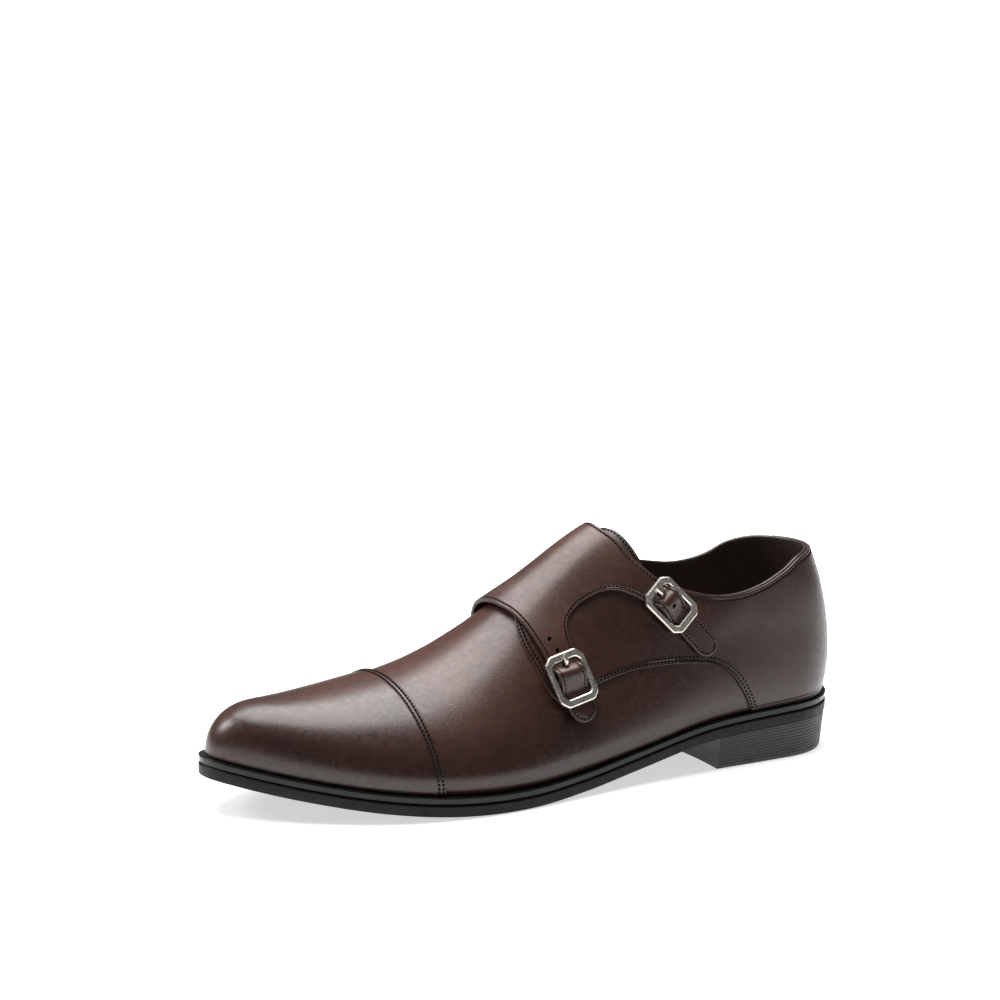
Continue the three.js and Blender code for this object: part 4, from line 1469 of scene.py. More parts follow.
@dataclass
class Flap:
    """The flap over the instep, with its two legs and straps."""

    last: Last
    buckles: tuple[Buckle, ...]
    low: float = 0.95
    thick: float = 1.75
    seam: float = 1.35
    body: Table = Table(
        "row rearAt rearGirth midAt midGirth frontAt frontGirth",
        [
            [0, 145.5, -64.5, 148.5, -65, 151.5, -64.5],
            [1, 140.5, -61, 148, -61.5, 155, -60.5],
            [2, 126, -47, 143.5, -47.5, 160.5, -47],
            [3, 111.5, -33, 138.2, -33, 164.5, -33],
            [4, 115.4, -20, 141.2, -20, 167, -20],
            [5, 119, -7, 143.9, -7, 168.8, -7],
            [6, 119.7, 5, 144.2, 5, 168.6, 5],
            [7, 116.6, 14, 141.8, 14.5, 167, 14],
            [8, 114.3, 21, 140, 22.5, 165.6, 22],
            [9, 111.4, 26.5, 138.3, 29.3, 164.4, 29],
        ],
    )
    front_leg: tuple[tuple[float, ...], ...] = (
        (138.3, 29.3, 164.4, 29),
        (144.5, 30, 163.9, 32.2),
        (148.6, 34.5, 162.9, 37),
    )
    rear_leg: tuple[tuple[float, ...], ...] = (
        (111.4, 26.5, 138.3, 29.3),
        (108.9, 30, 128.5, 31.4),
        (105.6, 34.4, 120, 36.8),
    )
    punched: tuple[Triple, ...] = ((158.0, 34.0, 0.9), (156.2, 40.3, 0.9), (99.9, 50.5, 0.9))
    prong_hole: float = 1.35
    stand: float = 1.5
    stand_from: float = 150.0
    stand_run: float = 20.0
    stand_ends: tuple[float, float] = (38.0, -58.0)
    stand_fade: float = 14.0

    def _strap(self, buckle: Buckle) -> tuple[Array, Array]:
        """The straight strap's two sides, from its leg to the middle of its tip.

        Args:
            buckle: The buckle it passes.

        Returns:
            The heelward and the toeward side.
        """
        top = buckle.length / 2 - 1.8
        bottom = buckle.strap_half - buckle.strap_tip
        ys = np.linspace(top, bottom, 24)
        turn = np.linspace(0, np.pi / 2, 9)[1:]
        xs = np.concatenate([np.full(24, buckle.strap_half), buckle.strap_half * np.cos(turn)])
        ys = np.concatenate([ys, bottom - buckle.strap_half * np.sin(turn)])
        return buckle.places(xs, ys), buckle.places(-xs, ys)

    def outline(self) -> Array:
        """The flap's edge as one closed line of (at, girth) places.

        Returns:
            The places.
        """
        rows = np.linspace(0, 9, 90)
        rear = np.stack([self.body.read("rearAt", rows), self.body.read("rearGirth", rows)], 1)
        front = np.stack([self.body.read("frontAt", rows), self.body.read("frontGirth", rows)], 1)
        front_buckle, rear_buckle = self.buckles
        heelward, toeward = self._strap(front_buckle)
        rear_heelward, rear_toeward = self._strap(rear_buckle)
        f, r = np.array(self.front_leg), np.array(self.rear_leg)
        arch = curve_through(
            [*rear_toeward[3:4], *r[::-1][:-1, 2:], f[0, :2], *f[1:, :2], *heelward[3:4]], 90
        )
        front_side = curve_through([front[-1], *f[1:, 2:], *toeward[3:4]], 40)
        rear_side = curve_through([rear[-1], *r[1:, :2], *rear_heelward[3:4]], 40)
        loop = np.concatenate(
            [
                rear[::-1],
                front,
                front_side[1:],
                toeward[4:],
                heelward[4:-1][::-1],
                arch[::-1][1:],
                rear_toeward[4:],
                rear_heelward[4:-1][::-1],
                rear_side[::-1][1:-1],
            ]
        )
        closed = along(np.concatenate([loop, loop[:1]]), step=0.8)[:-1]
        return rounded(closed, 4, closed=True)

    def lift(self, at: Array, girth: Array) -> Array:
        """How far the flap rises over what it lies on: over its buckles' bars, and at its front edge.

        Args:
            at: Places along.
            girth: Places round.

        Returns:
            Millimetres outward.
        """
        outer, inner = self.stand_ends
        ends = ease(1 - (girth - outer) / self.stand_fade) * ease(1 + (girth - inner) / self.stand_fade)
        stand = self.stand * ends * ease((at - self.stand_from) / self.stand_run)
        return stand + sum(buckle.strap_lift(at, girth) for buckle in self.buckles)

    def build(self, stitches: Stitching) -> Object:
        """Makes the flap and its edge stitching.

        Args:
            stitches: Takes the row round its edge.

        Returns:
            The flap.
        """
        shape = Shape()
        prongs = [(*buckle.places(0.0, buckle.slot), self.prong_hole) for buckle in self.buckles]
        panel = CutPanel(
            self.last,
            self.outline(),
            self.low,
            self.thick,
            EdgeCut(seams=(self.seam,)),
            extra=self.lift,
            holes=(*self.punched, *prongs),
        )
        panel.build_into(shape)
        row = panel.ring(self.seam)
        gaps = np.linalg.norm(np.diff(row, axis=0), axis=1)
        for run in np.split(row, np.where(gaps > 3)[0] + 1):
            if len(run) > 6:
                stitches.row(run, lambda at, girth: panel.surface(at, girth))
        return shape.build("strap_flap_leather", [Finish.STRAP, Finish.EDGE, Finish.HOLE])


# ---- sole ----
@dataclass
class Sole:
    """Welt, outsole, heel block and insole."""

    last: Last
    welt_thick: float = 3.0
    outsole_thick: float = 5.0
    crown: float = 1.6
    heel_length: float = 75.0
    heel_hollow: float = 2.5
    heel_taper: float = 1.5
    heel_bevel: float = 1.5
    bevel_length: float = 18.0
    grooves: int = 10
    edge: Table = Table("at out", [[0, 2.8], [60, 2.6], [110, 1.8], [150, 2.4], [200, 3.4], [300, 3.8]])

    def plan(self, at: Array, side: Array | float, out: Array | float) -> Array:
        """Points of the feather's plan moved outward.

        Args:
            at: Distances along the last.
            side: 1 for the outer side, -1 for the inner.
            out: How far they are moved.

        Returns:
            Rows of x and y.
        """
        at, side, out = np.broadcast_arrays(*(np.asarray(v, float) for v in (at, side, out)))
        step = 0.05
        held = np.clip(at, 2 * step, self.last.length - 2 * step)
        spot = self.last.point(at, side)
        ahead = self.last.point(held + step, side) - self.last.point(held - step, side)
        away = np.stack([-ahead[..., 1] * side, ahead[..., 0] * side], -1)
        away = np.where((at < 1e-6)[..., None], (-1.0, 0.0), away)
        away = np.where((at > self.last.length - 1e-6)[..., None], (1.0, 0.0), away)
        away = unit(away)
        return spot[..., :2] + away * out[..., None]

    def loop(self, count: int = 340) -> tuple[Array, Array]:
        """Places round the whole sole: out along the inner side from the heel, back along the outer.

        Args:
            count: Places on each side.

        Returns:
            Places along, and the side of each.
        """
        u = np.linspace(0, 1, count)
        at = self.last.length * (1 - np.cos(np.pi * u)) / 2
        return np.concatenate([at, at[::-1][1:-1]]), np.concatenate([-np.ones(count), np.ones(count - 2)])

    def feather(self, at: Array) -> Array:
        """Height of the feather edge."""
        return self.last.sections.read("feather", at)

    def band(
        self,
        profile: Callable[[Array], list[tuple[Array, Array]]],
        name: str,
        finishes: list[Finish],
        slots: Sequence[int],
        heights: Callable[[Array, Array], tuple[Array, Array]],
    ) -> Object:
        """A layer under the foot whose edge follows a profile.

        Args:
            profile: Gives (out, z) for each line of the edge, top to bottom, at places along.
            name: The piece's name.
            finishes: Its finishes.
            slots: Material slot of each band between two lines.
            heights: Gives the top and under face's heights at places along and across.

        Returns:
            The layer.
        """
        shape = Shape()
        at, side = self.loop()
        lines = [np.column_stack([self.plan(at, side, out), z]) for out, z in profile(at)]
        rows = np.stack(lines, 1)
        each = np.broadcast_to(np.asarray(slots), (len(at), len(slots)))
        shape.grid(rows, turned=False, slot=each, wrap=True)
        self._face(shape, profile, heights, top=True, slot=slots[0])
        self._face(shape, profile, heights, top=False, slot=slots[-1])
        return shape.build(name, finishes, crisp=35.0)

    def _face(self, shape: Shape, profile: Callable, heights: Callable, top: bool, slot: int) -> None:
        """The upper or under face of a layer.

        Args:
            shape: Takes the face.
            profile: Gives the edge's lines.
            heights: Gives both faces' heights.
            top: Whether it is the upper face.
            slot: Its material slot.
        """
        u = np.linspace(0, 1, 340)
        at = self.last.length * (1 - np.cos(np.pi * u)) / 2
        out, z = profile(at)[0 if top else -1]
        inner, outer = self.plan(at, -1, out), self.plan(at, 1, out)
        share = np.linspace(0, 1, 25)
        flat = inner[:, None] * (1 - share)[None, :, None] + outer[:, None] * share[None, :, None]
        across = 2 * share - 1
        high, low = heights(at[:, None], across[None, :])
        height = np.broadcast_to(high if top else low, flat.shape[:2]).copy()
        height[:, 0] = z
        height[:, -1] = z
        shape.grid(np.concatenate([flat, height[..., None]], -1), turned=not top, slot=slot)

    def welt(self) -> Object:
        """The welt and midsole, whose upper rim stands a little proud.

        Returns:
            The welt.
        """

        def profile(at: Array) -> list[tuple[Array, Array]]:
            """The edge's lines, top to bottom.

            Args:
                at: Places along.

            Returns:
                The reach and height of each line.
            """
            out, top = self.edge.read("out", at), self.feather(at) - FIT
            stations = [(-1.6, 0.0), (-0.55, 0.18), (-0.2, 0.16), (0.0, -0.08), (0.04, -0.32)]
            stations += [(-0.22, -0.62), (-0.3, -0.8), (-0.3, -2.5), (-0.45, -2.8), (-0.7, -3.0)]
            return [(out + o, top + z) for o, z in stations]

        def heights(at: Array, across: Array) -> tuple[Array, Array]:
            """Heights of the two faces.

            Args:
                at: Places along.
                across: Places across.

            Returns:
                Heights of the top and the under face.
            """
            top = self.feather(at) - FIT
            return top + 0 * across, top - self.welt_thick + 0 * across

        return self.band(profile, "welt_edge", [Finish.WELT], [0] * 9, heights)

    def tread(self, at: Array, across: Array) -> Array:
        """Height of the outsole's under face.

        Args:
            at: Places along.
            across: Places across.

        Returns:
            The heights.
        """
        zone = ease((at - 100) / 50) * self.last.plan_round(at)
        dip = self.crown * zone * (1 - across * across)
        return np.maximum(0, self.feather(at) - 2 * FIT - self.welt_thick - self.outsole_thick - dip)

    def outsole(self) -> Object:
        """The outsole, its edge plain and slightly rounded, a fine rib under the forepart.

        Returns:
            The outsole.
        """

        def profile(at: Array) -> list[tuple[Array, Array]]:
            """The edge's lines, top to bottom.

            Args:
                at: Places along.

            Returns:
                The reach and height of each line.
            """
            out = self.edge.read("out", at)
            top = self.feather(at) - 2 * FIT - self.welt_thick
            low = self.tread(at, np.ones_like(at))
            stations = [(-0.75, 0.0), (-0.3, 0.06), (0.0, 0.14), (0.0, 0.5)]
            stations += [(-0.05, 0.8), (-0.2, 0.94), (-0.6, 1.0)]
            return [(out + o, top + (low - top) * share) for o, share in stations]

        def heights(at: Array, across: Array) -> tuple[Array, Array]:
            """Heights of the two faces.

            Args:
                at: Places along.
                across: Places across.

            Returns:
                Heights of the top and the under face.
            """
            ribs = 0.12 * (0.5 - 0.5 * np.cos(2 * np.pi * at / 3.2)) * ease((at - 150) / 10)
            ribs = ribs * ease((250 - at) / 10) * ease((0.82 - np.abs(across)) / 0.05)
            return self.feather(at) - 2 * FIT - self.welt_thick + 0 * across, self.tread(at, across) + ribs

        return self.band(profile, "outsole_rubber_edge", [Finish.SOLE], [0] * 6, heights)

    def heel(self) -> Object:
        """The heel block, grooved round its sides, with a hollow breast.

        Returns:
            The block.
        """
        shape = Shape()
        count = 120
        turn = 1 - np.cos(np.pi / 2 * np.linspace(0, 1, count))
        front = self.heel_length
        at = np.concatenate([front * turn[::-1], front * turn[1:]])
        side = np.concatenate([-np.ones(count), np.ones(count - 1)])
        top = self.tread(at, np.ones_like(at)) - FIT + 0.25
        low = self.heel_bevel * np.maximum(0, 1 - at / self.bevel_length) ** 2
        out = self.edge.read("out", at) - 0.4
        shares, dips = [0.0, 0.012], [0.25, 0.0]
        for k in range(self.grooves):
            middle = 0.06 + 0.088 * k
            shares += [middle - 0.02, middle - 0.007, middle + 0.007, middle + 0.02]
            dips += [0.0, 0.2, 0.2, 0.0]
        shares += [0.9, 0.97, 0.99, 1.0]
        dips += [0.0, 0.0, 0.12, 0.35]
        lines = []
        for share, dip in zip(shares, dips):
            flat = self.plan(at, side, out - self.heel_taper * share - dip)
            lines.append(np.column_stack([flat, top + (low - top) * share]))
        rows = np.stack(lines, 1)
        shape.grid(rows, turned=False)
        across = np.linspace(-1, 1, 25)
        breast = []
        for j in range(rows.shape[1]):
            inner, outer = rows[0, j], rows[-1, j]
            line = inner + (outer - inner) * ((across + 1) / 2)[:, None]
            line[:, 0] -= self.heel_hollow * (1 - across**2)
            breast.append(line)
        breast = np.stack(breast, 1)
        shape.grid(breast, turned=True)
        for j, turned in ((0, True), (-1, False)):
            rim = rows[:, j]
            half = len(rim) // 2
            inner, outer = rim[: half + 1][::-1], rim[half:]
            share = np.linspace(0, 1, 25)[None, :, None]
            face = inner[:, None] * (1 - share) + outer[:, None] * share
            reach = ((face[..., 0] - face[..., 0].min()) / np.ptp(face[..., 0])) ** 6
            face[..., 0] -= self.heel_hollow * (1 - across**2)[None, :] * reach
            shape.grid(face, turned=not turned)
        return shape.build("heel_block_grooved", [Finish.HEEL], crisp=30.0)

    def insole(self) -> Object:
        """The insole, lined, slightly dished.

        Returns:
            The insole.
        """
        inside = -(WALL + 0.6)

        def profile(at: Array) -> list[tuple[Array, Array]]:
            """The edge's lines, top to bottom.

            Args:
                at: Places along.

            Returns:
                The reach and height of each line.
            """
            out, low = inside + 0 * at, self.feather(at)
            return [(out - 0.6, low + 2.5), (out, low + 2.1), (out, low + 0.2), (out - 0.3, low)]

        def heights(at: Array, across: Array) -> tuple[Array, Array]:
            """Heights of the two faces.

            Args:
                at: Places along.
                across: Places across.

            Returns:
                Heights of the top and the under face.
            """
            low = self.feather(at)
            return low + 2.5 - 0.5 * (1 - across**2), low + 0 * across

        return self.band(profile, "insole_sock", [Finish.LINING], [0] * 3, heights)


# ---- finishes ----
class Nodes:
    """A short way to write a material's nodes."""

    def __init__(self, finish: Finish) -> None:
        """Starts a new material with a principled shader.

        Args:
            finish: Names the material.
        """
        self.material = bpy.data.materials.new(finish.value)
        self.material.use_nodes = True
        self.tree = self.material.node_tree
        self.shader = self.tree.nodes["Principled BSDF"]
        self.place = self.tree.nodes.new("ShaderNodeTexCoord").outputs["Object"]

    def stretched(self, scale: Triple) -> Socket:
        """The object's own coordinates, scaled along each axis.

        Args:
            scale: Scale along each axis.

        Returns:
            The coordinates.
        """
        node = self.tree.nodes.new("ShaderNodeMapping")
        node.inputs["Scale"].default_value = scale
        self.tree.links.new(self.place, node.inputs["Vector"])
        return node.outputs["Vector"]

    def noise(self, scale: float, detail: float = 3.0, vector: Socket | None = None,
              rough: float = 0.5) -> Socket:
        """A noise pattern's value.

        Args:
            scale: Features per metre.
            detail: How many finer layers it has.
            vector: Its coordinates, if not the object's own.
            rough: How strong the finer layers are.

        Returns:
            The value's socket.
        """
        node = self.tree.nodes.new("ShaderNodeTexNoise")
        node.inputs["Scale"].default_value = scale
        node.inputs["Detail"].default_value = detail
        node.inputs["Roughness"].default_value = rough
        self.tree.links.new(vector or self.place, node.inputs["Vector"])
        return node.outputs["Fac"]

    def cells(self, scale: float, vector: Socket | None = None) -> Socket:
        """A pebbled pattern's value, lowest at the middle of each pebble.

        Args:
            scale: Pebbles per metre.
            vector: Coordinates, if not the plain ones.

        Returns:
            The value.
        """
        node = self.tree.nodes.new("ShaderNodeTexVoronoi")
        node.inputs["Scale"].default_value = scale
        self.tree.links.new(vector or self.place, node.inputs["Vector"])
        return node.outputs["Distance"]

    def spread(self, value: Socket, low: float, high: float, start: float = 0.3, end: float = 0.7) -> Socket:
        """Maps a value from start..end to low..high.

        Args:
            value: The value.
            low: Result at the start.
            high: Result at the end.
            start: Where it starts.
            end: Where it ends.

        Returns:
            The mapped value.
        """
        node = self.tree.nodes.new("ShaderNodeMapRange")
        for name, number in (("From Min", start), ("From Max", end), ("To Min", low), ("To Max", high)):
            node.inputs[name].default_value = number
        self.tree.links.new(value, node.inputs["Value"])
        return node.outputs["Result"]

    def maths(self, kind: str, first: Socket, second: Socket | float) -> Socket:
        """A sum or product of two values.

        Args:
            kind: Blender's name of the operation.
            first: A value.
            second: A value or a number.

        Returns:
            The result.
        """
        node = self.tree.nodes.new("ShaderNodeMath")
        node.operation = kind
        self.tree.links.new(first, node.inputs[0])
        if isinstance(second, (int, float)):
            node.inputs[1].default_value = second
        else:
            self.tree.links.new(second, node.inputs[1])
        return node.outputs[0]

    def mix(self, share: Socket, first: Triple | Socket, second: Triple | Socket) -> Socket:
        """A mix of two colours.

        Args:
            share: Share of the second.
            first: A colour.
            second: A colour.

        Returns:
            The mixed colour.
        """
        node = self.tree.nodes.new("ShaderNodeMix")
        node.data_type = "RGBA"
        self.tree.links.new(share, node.inputs["Factor"])
        for socket, colour in ((node.inputs[6], first), (node.inputs[7], second)):
            if isinstance(colour, tuple):
                socket.default_value = (*colour, 1.0)
            else:
                self.tree.links.new(colour, socket)
        return node.outputs[2]

    def axis(self, letter: str) -> Socket:
        """One of the object's own coordinates.

        Args:
            letter: X from heel to toe, or Z upward.

        Returns:
            The coordinate.
        """
        node = self.tree.nodes.new("ShaderNodeSeparateXYZ")
        self.tree.links.new(self.place, node.inputs[0])
        return node.outputs[letter]

    def colour(self, socket: Socket) -> None:
        """Links the base colour."""
        self.tree.links.new(socket, self.shader.inputs["Base Color"])

    def roughness(self, socket: Socket) -> None:
        """Links the roughness."""
        self.tree.links.new(socket, self.shader.inputs["Roughness"])

    def bump(self, layers: Sequence[tuple[Socket, float, float]]) -> None:
        """Adds bump layers.

        Args:
            layers: For each, its height pattern, strength and depth in metres.
        """
        before = None
        for value, strength, depth in layers:
            node = self.tree.nodes.new("ShaderNodeBump")
            node.inputs["Strength"].default_value = strength
            node.inputs["Distance"].default_value = depth
            self.tree.links.new(value, node.inputs["Height"])
            if before is not None:
                self.tree.links.new(before, node.inputs["Normal"])
            before = node.outputs["Normal"]
        self.tree.links.new(before, self.shader.inputs["Normal"])

    def fixed(self, **values: float | tuple[float, ...]) -> None:
        """Sets constants on the shader's own sockets."""
        for name, value in values.items():
            self.shader.inputs[name.replace("_", " ")].default_value = value


@dataclass(frozen=True)
class Look:
    """What every material starts from."""

    finish: Finish
    light: Triple
    dark: Triple


@dataclass(frozen=True)
class Calf(Look):
    """Burnished calf leather, with painted shade towards the sole."""

    rough: float = 0.36
    coat: float = 0.12
    grain: float = 0.25

    def make(self) -> None:
        """Makes the material."""
        nodes = Nodes(self.finish)
        broad = nodes.noise(26, 3)
        mottle = nodes.noise(210, 4, rough=0.6)
        patches = nodes.maths("ADD", nodes.spread(broad, 0.0, 0.62), nodes.spread(mottle, -0.12, 0.3))
        body = nodes.mix(patches, self.light, self.dark)
        # Painted shade: the leather darkens towards the sole, where the lower sides fall in shade; the
        # darker toe tip is burnish.
        low_painted_shade = nodes.spread(nodes.axis("Z"), 0.55, 0.0, 0.012, 0.045)
        tip = nodes.spread(nodes.axis("X"), 0.0, 0.35, 0.09, 0.155)
        shade = nodes.maths("MAXIMUM", low_painted_shade, tip)
        nodes.colour(nodes.mix(shade, body, self.dark))
        nodes.roughness(nodes.spread(nodes.noise(420, 4), self.rough - 0.06, self.rough + 0.09))
        pores = nodes.cells(1500)
        nodes.bump(
            [
                (nodes.noise(95, 2), 0.12, 0.0006),
                (pores, self.grain, 0.00012),
                (nodes.noise(2600, 3), 0.25, 0.00008),
            ]
        )
        nodes.fixed(Coat_Weight=self.coat, Coat_Roughness=0.22, Specular_IOR_Level=0.55)


@dataclass(frozen=True)
class EdgeAndHighlight(Look):
    """A cut and stained leather edge; its lighter tone is partly the raw edge's own and partly a painted
    highlight where the edges catch the light.
    """

    rough: float = 0.55

    def make(self) -> None:
        """Makes the material."""
        nodes = Nodes(self.finish)
        nodes.colour(nodes.mix(nodes.noise(700, 4, rough=0.65), self.light, self.dark))
        nodes.roughness(nodes.spread(nodes.noise(1100, 2), self.rough - 0.1, self.rough + 0.12))
        nodes.bump([(nodes.noise(1800, 4), 0.5, 0.00015)])


@dataclass(frozen=True)
class Rubber(Look):
    """Black moulded rubber, matte or polished."""

    rough: float
    streak: float = 0.0
    shine: float = 0.35

    def make(self) -> None:
        """Makes the material."""
        nodes = Nodes(self.finish)
        lengthwise = nodes.stretched((14, 14, 900))
        streaks = nodes.noise(1.0, 3, lengthwise)
        cloud = nodes.noise(60, 4)
        nodes.colour(nodes.mix(nodes.maths("MULTIPLY", cloud, streaks), self.dark, self.light))
        nodes.roughness(nodes.spread(nodes.noise(300, 4), self.rough - 0.06, self.rough + 0.1))
        nodes.bump([(streaks, self.streak, 0.0002), (nodes.noise(2200, 3), 0.18, 0.0001)])
        nodes.fixed(Specular_IOR_Level=self.shine)


@dataclass(frozen=True)
class Nickel(Look):
    """Brushed nickel, mottled between a light and a dark tone."""

    rough: float = 0.3

    def make(self) -> None:
        """Makes the material."""
        nodes = Nodes(self.finish)
        brushed = nodes.noise(1.0, 4, nodes.stretched((500, 500, 3500)), rough=0.6)
        nodes.colour(nodes.mix(nodes.spread(nodes.noise(260, 4), 0.0, 0.8), self.light, self.dark))
        nodes.roughness(nodes.spread(brushed, self.rough - 0.08, self.rough + 0.14))
        nodes.bump([(brushed, 0.22, 0.00006)])
        nodes.fixed(Metallic=1.0)


@dataclass(frozen=True)
class ThreadAndHoleShade(Look):
    """Waxed thread, or the painted shade inside a punched hole, a near-black fill."""

    rough: float = 0.6

    def make(self) -> None:
        """Makes the material."""
        nodes = Nodes(self.finish)
        nodes.colour(nodes.mix(nodes.noise(1500, 3), self.light, self.dark))
        nodes.roughness(nodes.spread(nodes.noise(900, 2), self.rough - 0.1, self.rough + 0.1))
        nodes.bump([(nodes.noise(4200, 2), 0.4, 0.0001)])
        nodes.fixed(Specular_IOR_Level=0.2)


def make_finishes() -> None:
    """Makes every material once."""
    finishes = [
        Calf(Finish.UPPER, (0.098, 0.037, 0.024), (0.032, 0.0105, 0.0072), rough=0.33),
        Calf(Finish.CAP, (0.09, 0.035, 0.023), (0.024, 0.0082, 0.006), rough=0.32, coat=0.2),
        Calf(Finish.STRAP, (0.105, 0.043, 0.029), (0.04, 0.0145, 0.0105), rough=0.36),
        Calf(Finish.DARK, (0.034, 0.015, 0.011), (0.013, 0.0065, 0.0052), rough=0.42, coat=0.05),
        # Lighter edge colour: partly the raw edge's tone, partly a painted highlight along the edges.
        EdgeAndHighlight(Finish.EDGE, (0.09, 0.05, 0.04), (0.03, 0.017, 0.014)),
        Calf(Finish.LINING, (0.09, 0.055, 0.04), (0.055, 0.033, 0.024), rough=0.6, coat=0.0, grain=0.2),
        ThreadAndHoleShade(Finish.THREAD, (0.007, 0.0045, 0.004), (0.003, 0.002, 0.002)),
        # Painted shade: near-black fill inside the punched holes.
        ThreadAndHoleShade(Finish.HOLE, (0.008, 0.005, 0.004), (0.003, 0.002, 0.002), rough=0.8),
        Rubber(
            Finish.WELT, (0.006, 0.006, 0.0063), (0.003, 0.003, 0.003), rough=0.3, streak=0.05, shine=0.32
        ),
        Rubber(
            Finish.SOLE, (0.007, 0.007, 0.0073), (0.0035, 0.0035, 0.0035), rough=0.5, streak=0.15, shine=0.26
        ),
        Rubber(
            Finish.HEEL, (0.085, 0.0855, 0.088), (0.048, 0.048, 0.05), rough=0.42, streak=0.2, shine=0.6
        ),
        Nickel(Finish.NICKEL, (0.82, 0.78, 0.71), (0.5, 0.47, 0.42)),
    ]
    for finish in finishes:
        finish.make()


# ---- stage ----
@dataclass
class Studio:
    """A white floor, soft lights and the camera."""

    turn: float = 32.0
    tilt: float = 14.0
    distance: float = 1000.0
    look_turn: float = -1.0456
    look_tilt: float = -4.6334
    roll: float = 1.0
    lens: float = 81.5
    aim_height: float = 40.0
    sweep: Triple = (1.5, 0.9, 2.4)
    floor_glow: float = 0.6

    def camera(self) -> None:
        """Stands the camera in front of the shoe's outer side, a little above it."""
        beta, tilt = math.radians(self.turn), math.radians(self.tilt)
        aim = np.array([0, 0, self.aim_height]) - CENTRE
        way = np.array([math.sin(beta) * math.cos(tilt), math.cos(beta) * math.cos(tilt), math.sin(tilt)])
        spot = (aim + self.distance * way) * MM
        degrees = (self.turn + self.look_turn, self.tilt + self.look_tilt, self.roll)
        b, p, r = (math.radians(value) for value in degrees)
        back = np.array([math.sin(b) * math.cos(p), math.cos(b) * math.cos(p), math.sin(p)])
        right = np.array([-math.cos(b), math.sin(b), 0])
        up = np.cross(back, right)
        x = math.cos(r) * right + math.sin(r) * up
        y = -math.sin(r) * right + math.cos(r) * up
        data = bpy.data.cameras.new("studio_camera")
        data.lens = self.lens
        data.sensor_width = 36.0
        data.clip_start = 0.01
        camera = bpy.data.objects.new("studio_camera", data)
        camera.matrix_world = Matrix([(*(x[i], y[i], back[i]), spot[i]) for i in range(3)] + [(0, 0, 0, 1)])
        bpy.context.scene.collection.objects.link(camera)
        bpy.context.scene.camera = camera

    def light(
        self, name: str, spot: Triple, size: tuple[float, float], power: float, aim: Triple = (0, 0, 0.04)
    ) -> None:
        """Adds one soft box.

        Args:
            name: Its name.
            spot: Where it stands, in metres.
            size: Its width and height, in metres.
            power: Its power in watts.
            aim: Where it points.
        """
        data = bpy.data.lights.new(name, "AREA")
        data.shape = "RECTANGLE"
        data.size, data.size_y = size
        data.energy = power
        lamp = bpy.data.objects.new(name, data)
        lamp.location = spot
        lamp.rotation_euler = (Vector(aim) - Vector(spot)).to_track_quat("-Z", "Y").to_euler()
        bpy.context.scene.collection.objects.link(lamp)

    def paper(self, name: str, profile: Sequence[tuple[float, float]], glow: float) -> Object:
        """Turns one sheet of the stage about the upright axis.

        Args:
            name: Its name.
            profile: Reach and rise along it, in metres.
            glow: How strongly it is lit from behind.

        Returns:
            The sheet.
        """
        reach, rise = np.array(profile).T
        around = np.linspace(0, 2 * np.pi, 97)
        x, y = np.cos(around)[:, None] * reach, np.sin(around)[:, None] * reach
        shape = Shape()
        shape.grid(np.stack([x, y, np.broadcast_to(rise, x.shape)], -1) / MM)
        material = bpy.data.materials.new(f"{name}_paper")
        material.use_nodes = True
        shader = material.node_tree.nodes["Principled BSDF"]
        noise = material.node_tree.nodes.new("ShaderNodeTexNoise")
        noise.inputs["Scale"].default_value = 6.0
        spread = material.node_tree.nodes.new("ShaderNodeMapRange")
        spread.inputs["To Min"].default_value = 0.87
        spread.inputs["To Max"].default_value = 0.9
        material.node_tree.links.new(noise.outputs["Fac"], spread.inputs["Value"])
        material.node_tree.links.new(spread.outputs["Result"], shader.inputs["Base Color"])
        shader.inputs["Roughness"].default_value = 0.75
        shader.inputs["Emission Color"].default_value = (1.0, 1.0, 1.0, 1.0)
        shader.inputs["Emission Strength"].default_value = glow
        sheet = shape.build(name, [])
        sheet.data.materials.append(material)
        sheet.visible_diffuse = False
        sheet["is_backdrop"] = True
        return sheet

    def floor(self) -> None:
        """Lays the pale floor and stands the sweep round it."""
        flat, bend, wall = self.sweep
        turns = np.linspace(0, np.pi / 2, 25)
        curve = [(flat + bend * math.sin(turn), bend * (1 - math.cos(turn))) for turn in turns]
        self.paper("studio_floor", [(0.0005, 0.0), (0.3, 0.0), (flat, 0.0)], self.floor_glow)
        sweep = self.paper("studio_sweep", [*curve, (flat + bend, wall)], 1.0)
        sweep.visible_glossy = False

    def world(self) -> None:
        """Sets the even light of the room."""
        world = bpy.data.worlds.new("studio_room")
        world.use_nodes = True
        background = world.node_tree.nodes["Background"]
        background.inputs["Color"].default_value = (1.0, 1.0, 1.0, 1.0)
        background.inputs["Strength"].default_value = 0.12
        bpy.context.scene.world = world

    def build(self) -> None:
        """Sets the whole stage."""
        self.camera()
        self.floor()
        self.world()
        self.light("ceiling_softbox", (0.0, -0.42, 1.4), (1.5, 1.35), 38.0, aim=(0.0, -0.3, 0.0))
        self.light("toe_softbox", (1.1, -0.75, 0.95), (0.5, 0.5), 9.0)
        bpy.context.scene.view_settings.view_transform = "Standard"


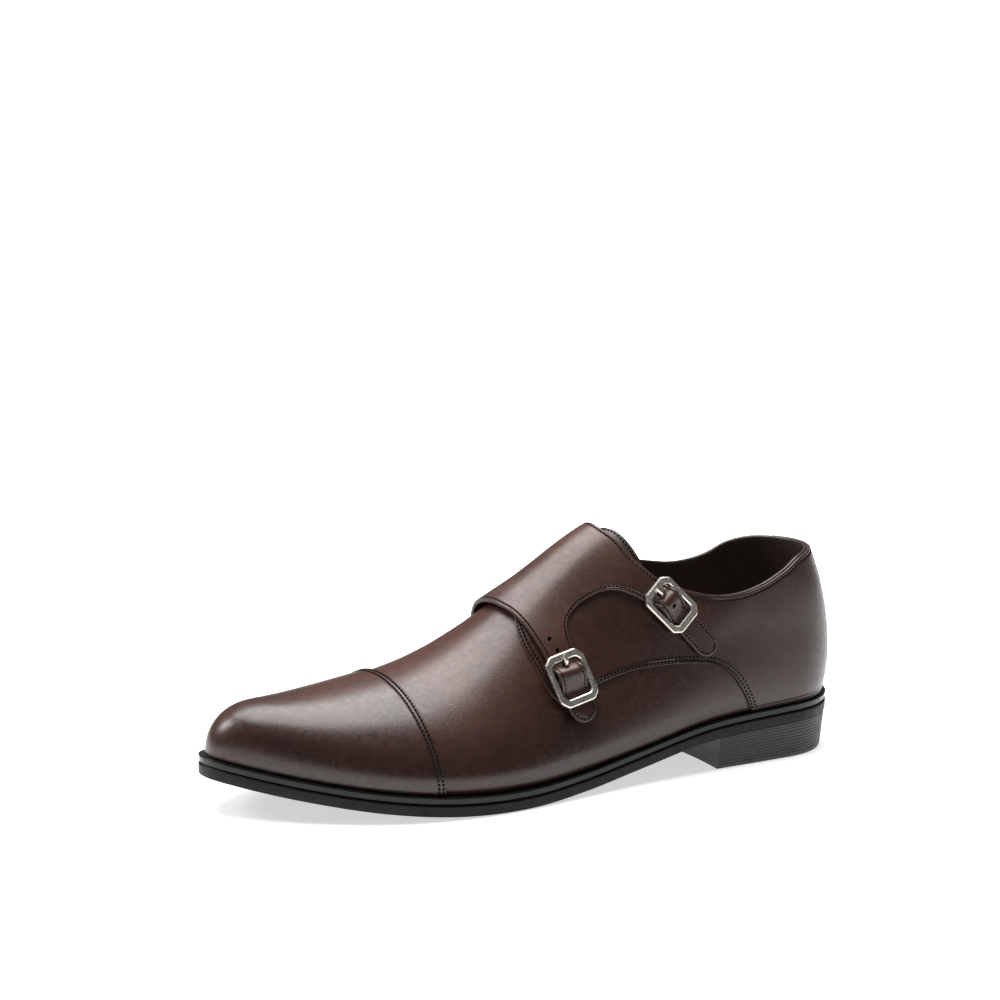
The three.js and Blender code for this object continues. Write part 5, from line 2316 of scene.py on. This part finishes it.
# ---- the whole shoe ----
def dress(piece: Object, slot: str, *nodes: str) -> None:
    """Makes a piece ride on the shoe and stand for its solids.

    Args:
        piece: The piece.
        slot: Its material slot in the frame; not used.
        nodes: The solids that it stands for.
    """
    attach(piece, "root")
    if nodes:
        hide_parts(*nodes)
    log.info("%s: %d faces", piece.name, len(piece.data.polygons))


def main() -> None:
    """Builds the shoe piece by piece on its stage."""
    logging.basicConfig(level=logging.INFO, format="%(name)s %(message)s")
    Studio().build()
    make_finishes()
    last = Last()
    stitches = Stitching(last)
    front_spot = {"at": 153.6, "girth": 54.4, "to_at": 155.5, "to_girth": 44.7}
    front_size = {"width": 20.0, "length": 23.5, "strap_half": 6.7, "strap_tip": 19.6}
    rear_spot = {"at": 100.0, "girth": 49.8, "to_at": 105.9, "to_girth": 41.9}
    rear_size = {"width": 17.5, "length": 23.9, "strap_half": 5.7, "strap_tip": 30.3}
    front = Buckle(last, "front", **front_spot, **front_size)
    rear = Buckle(last, "rear", **rear_spot, **rear_size)
    upper = Upper(last)
    dress(upper.vamp(), "upper_leather", "upper")
    for quarter in upper.quarters(stitches):
        dress(quarter, "upper_leather")
    dress(upper.toe_cap(stitches), "cap_leather", "toe_cap")
    dress(upper.backstay(), "dark_leather", "backstay")
    dress(Tongue(last).build(stitches), "dark_leather", "tongue")
    dress(Flap(last, (front, rear)).build(stitches), "strap_leather", "strap_flap")
    for buckle in (front, rear):
        dress(buckle.frame(), "buckle_metal", f"buckle_frame_{buckle.name}")
        dress(buckle.prong(), "buckle_metal", f"buckle_prong_{buckle.name}")
        dress(buckle.tab(), "dark_leather", f"buckle_tab_{buckle.name}")
    dress(stitches.build("seam_stitches"), "dark_leather")
    sole = Sole(last)
    dress(sole.welt(), "sole_edge", "welt")
    dress(sole.outsole(), "sole_rubber", "outsole")
    dress(sole.heel(), "heel_rubber", "heel_block")
    dress(sole.insole(), "lining", "insole")
    boxes = [[list(corner) for corner in box] for box in (CAD_BOX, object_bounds())]


if __name__ == "__main__":
    main()
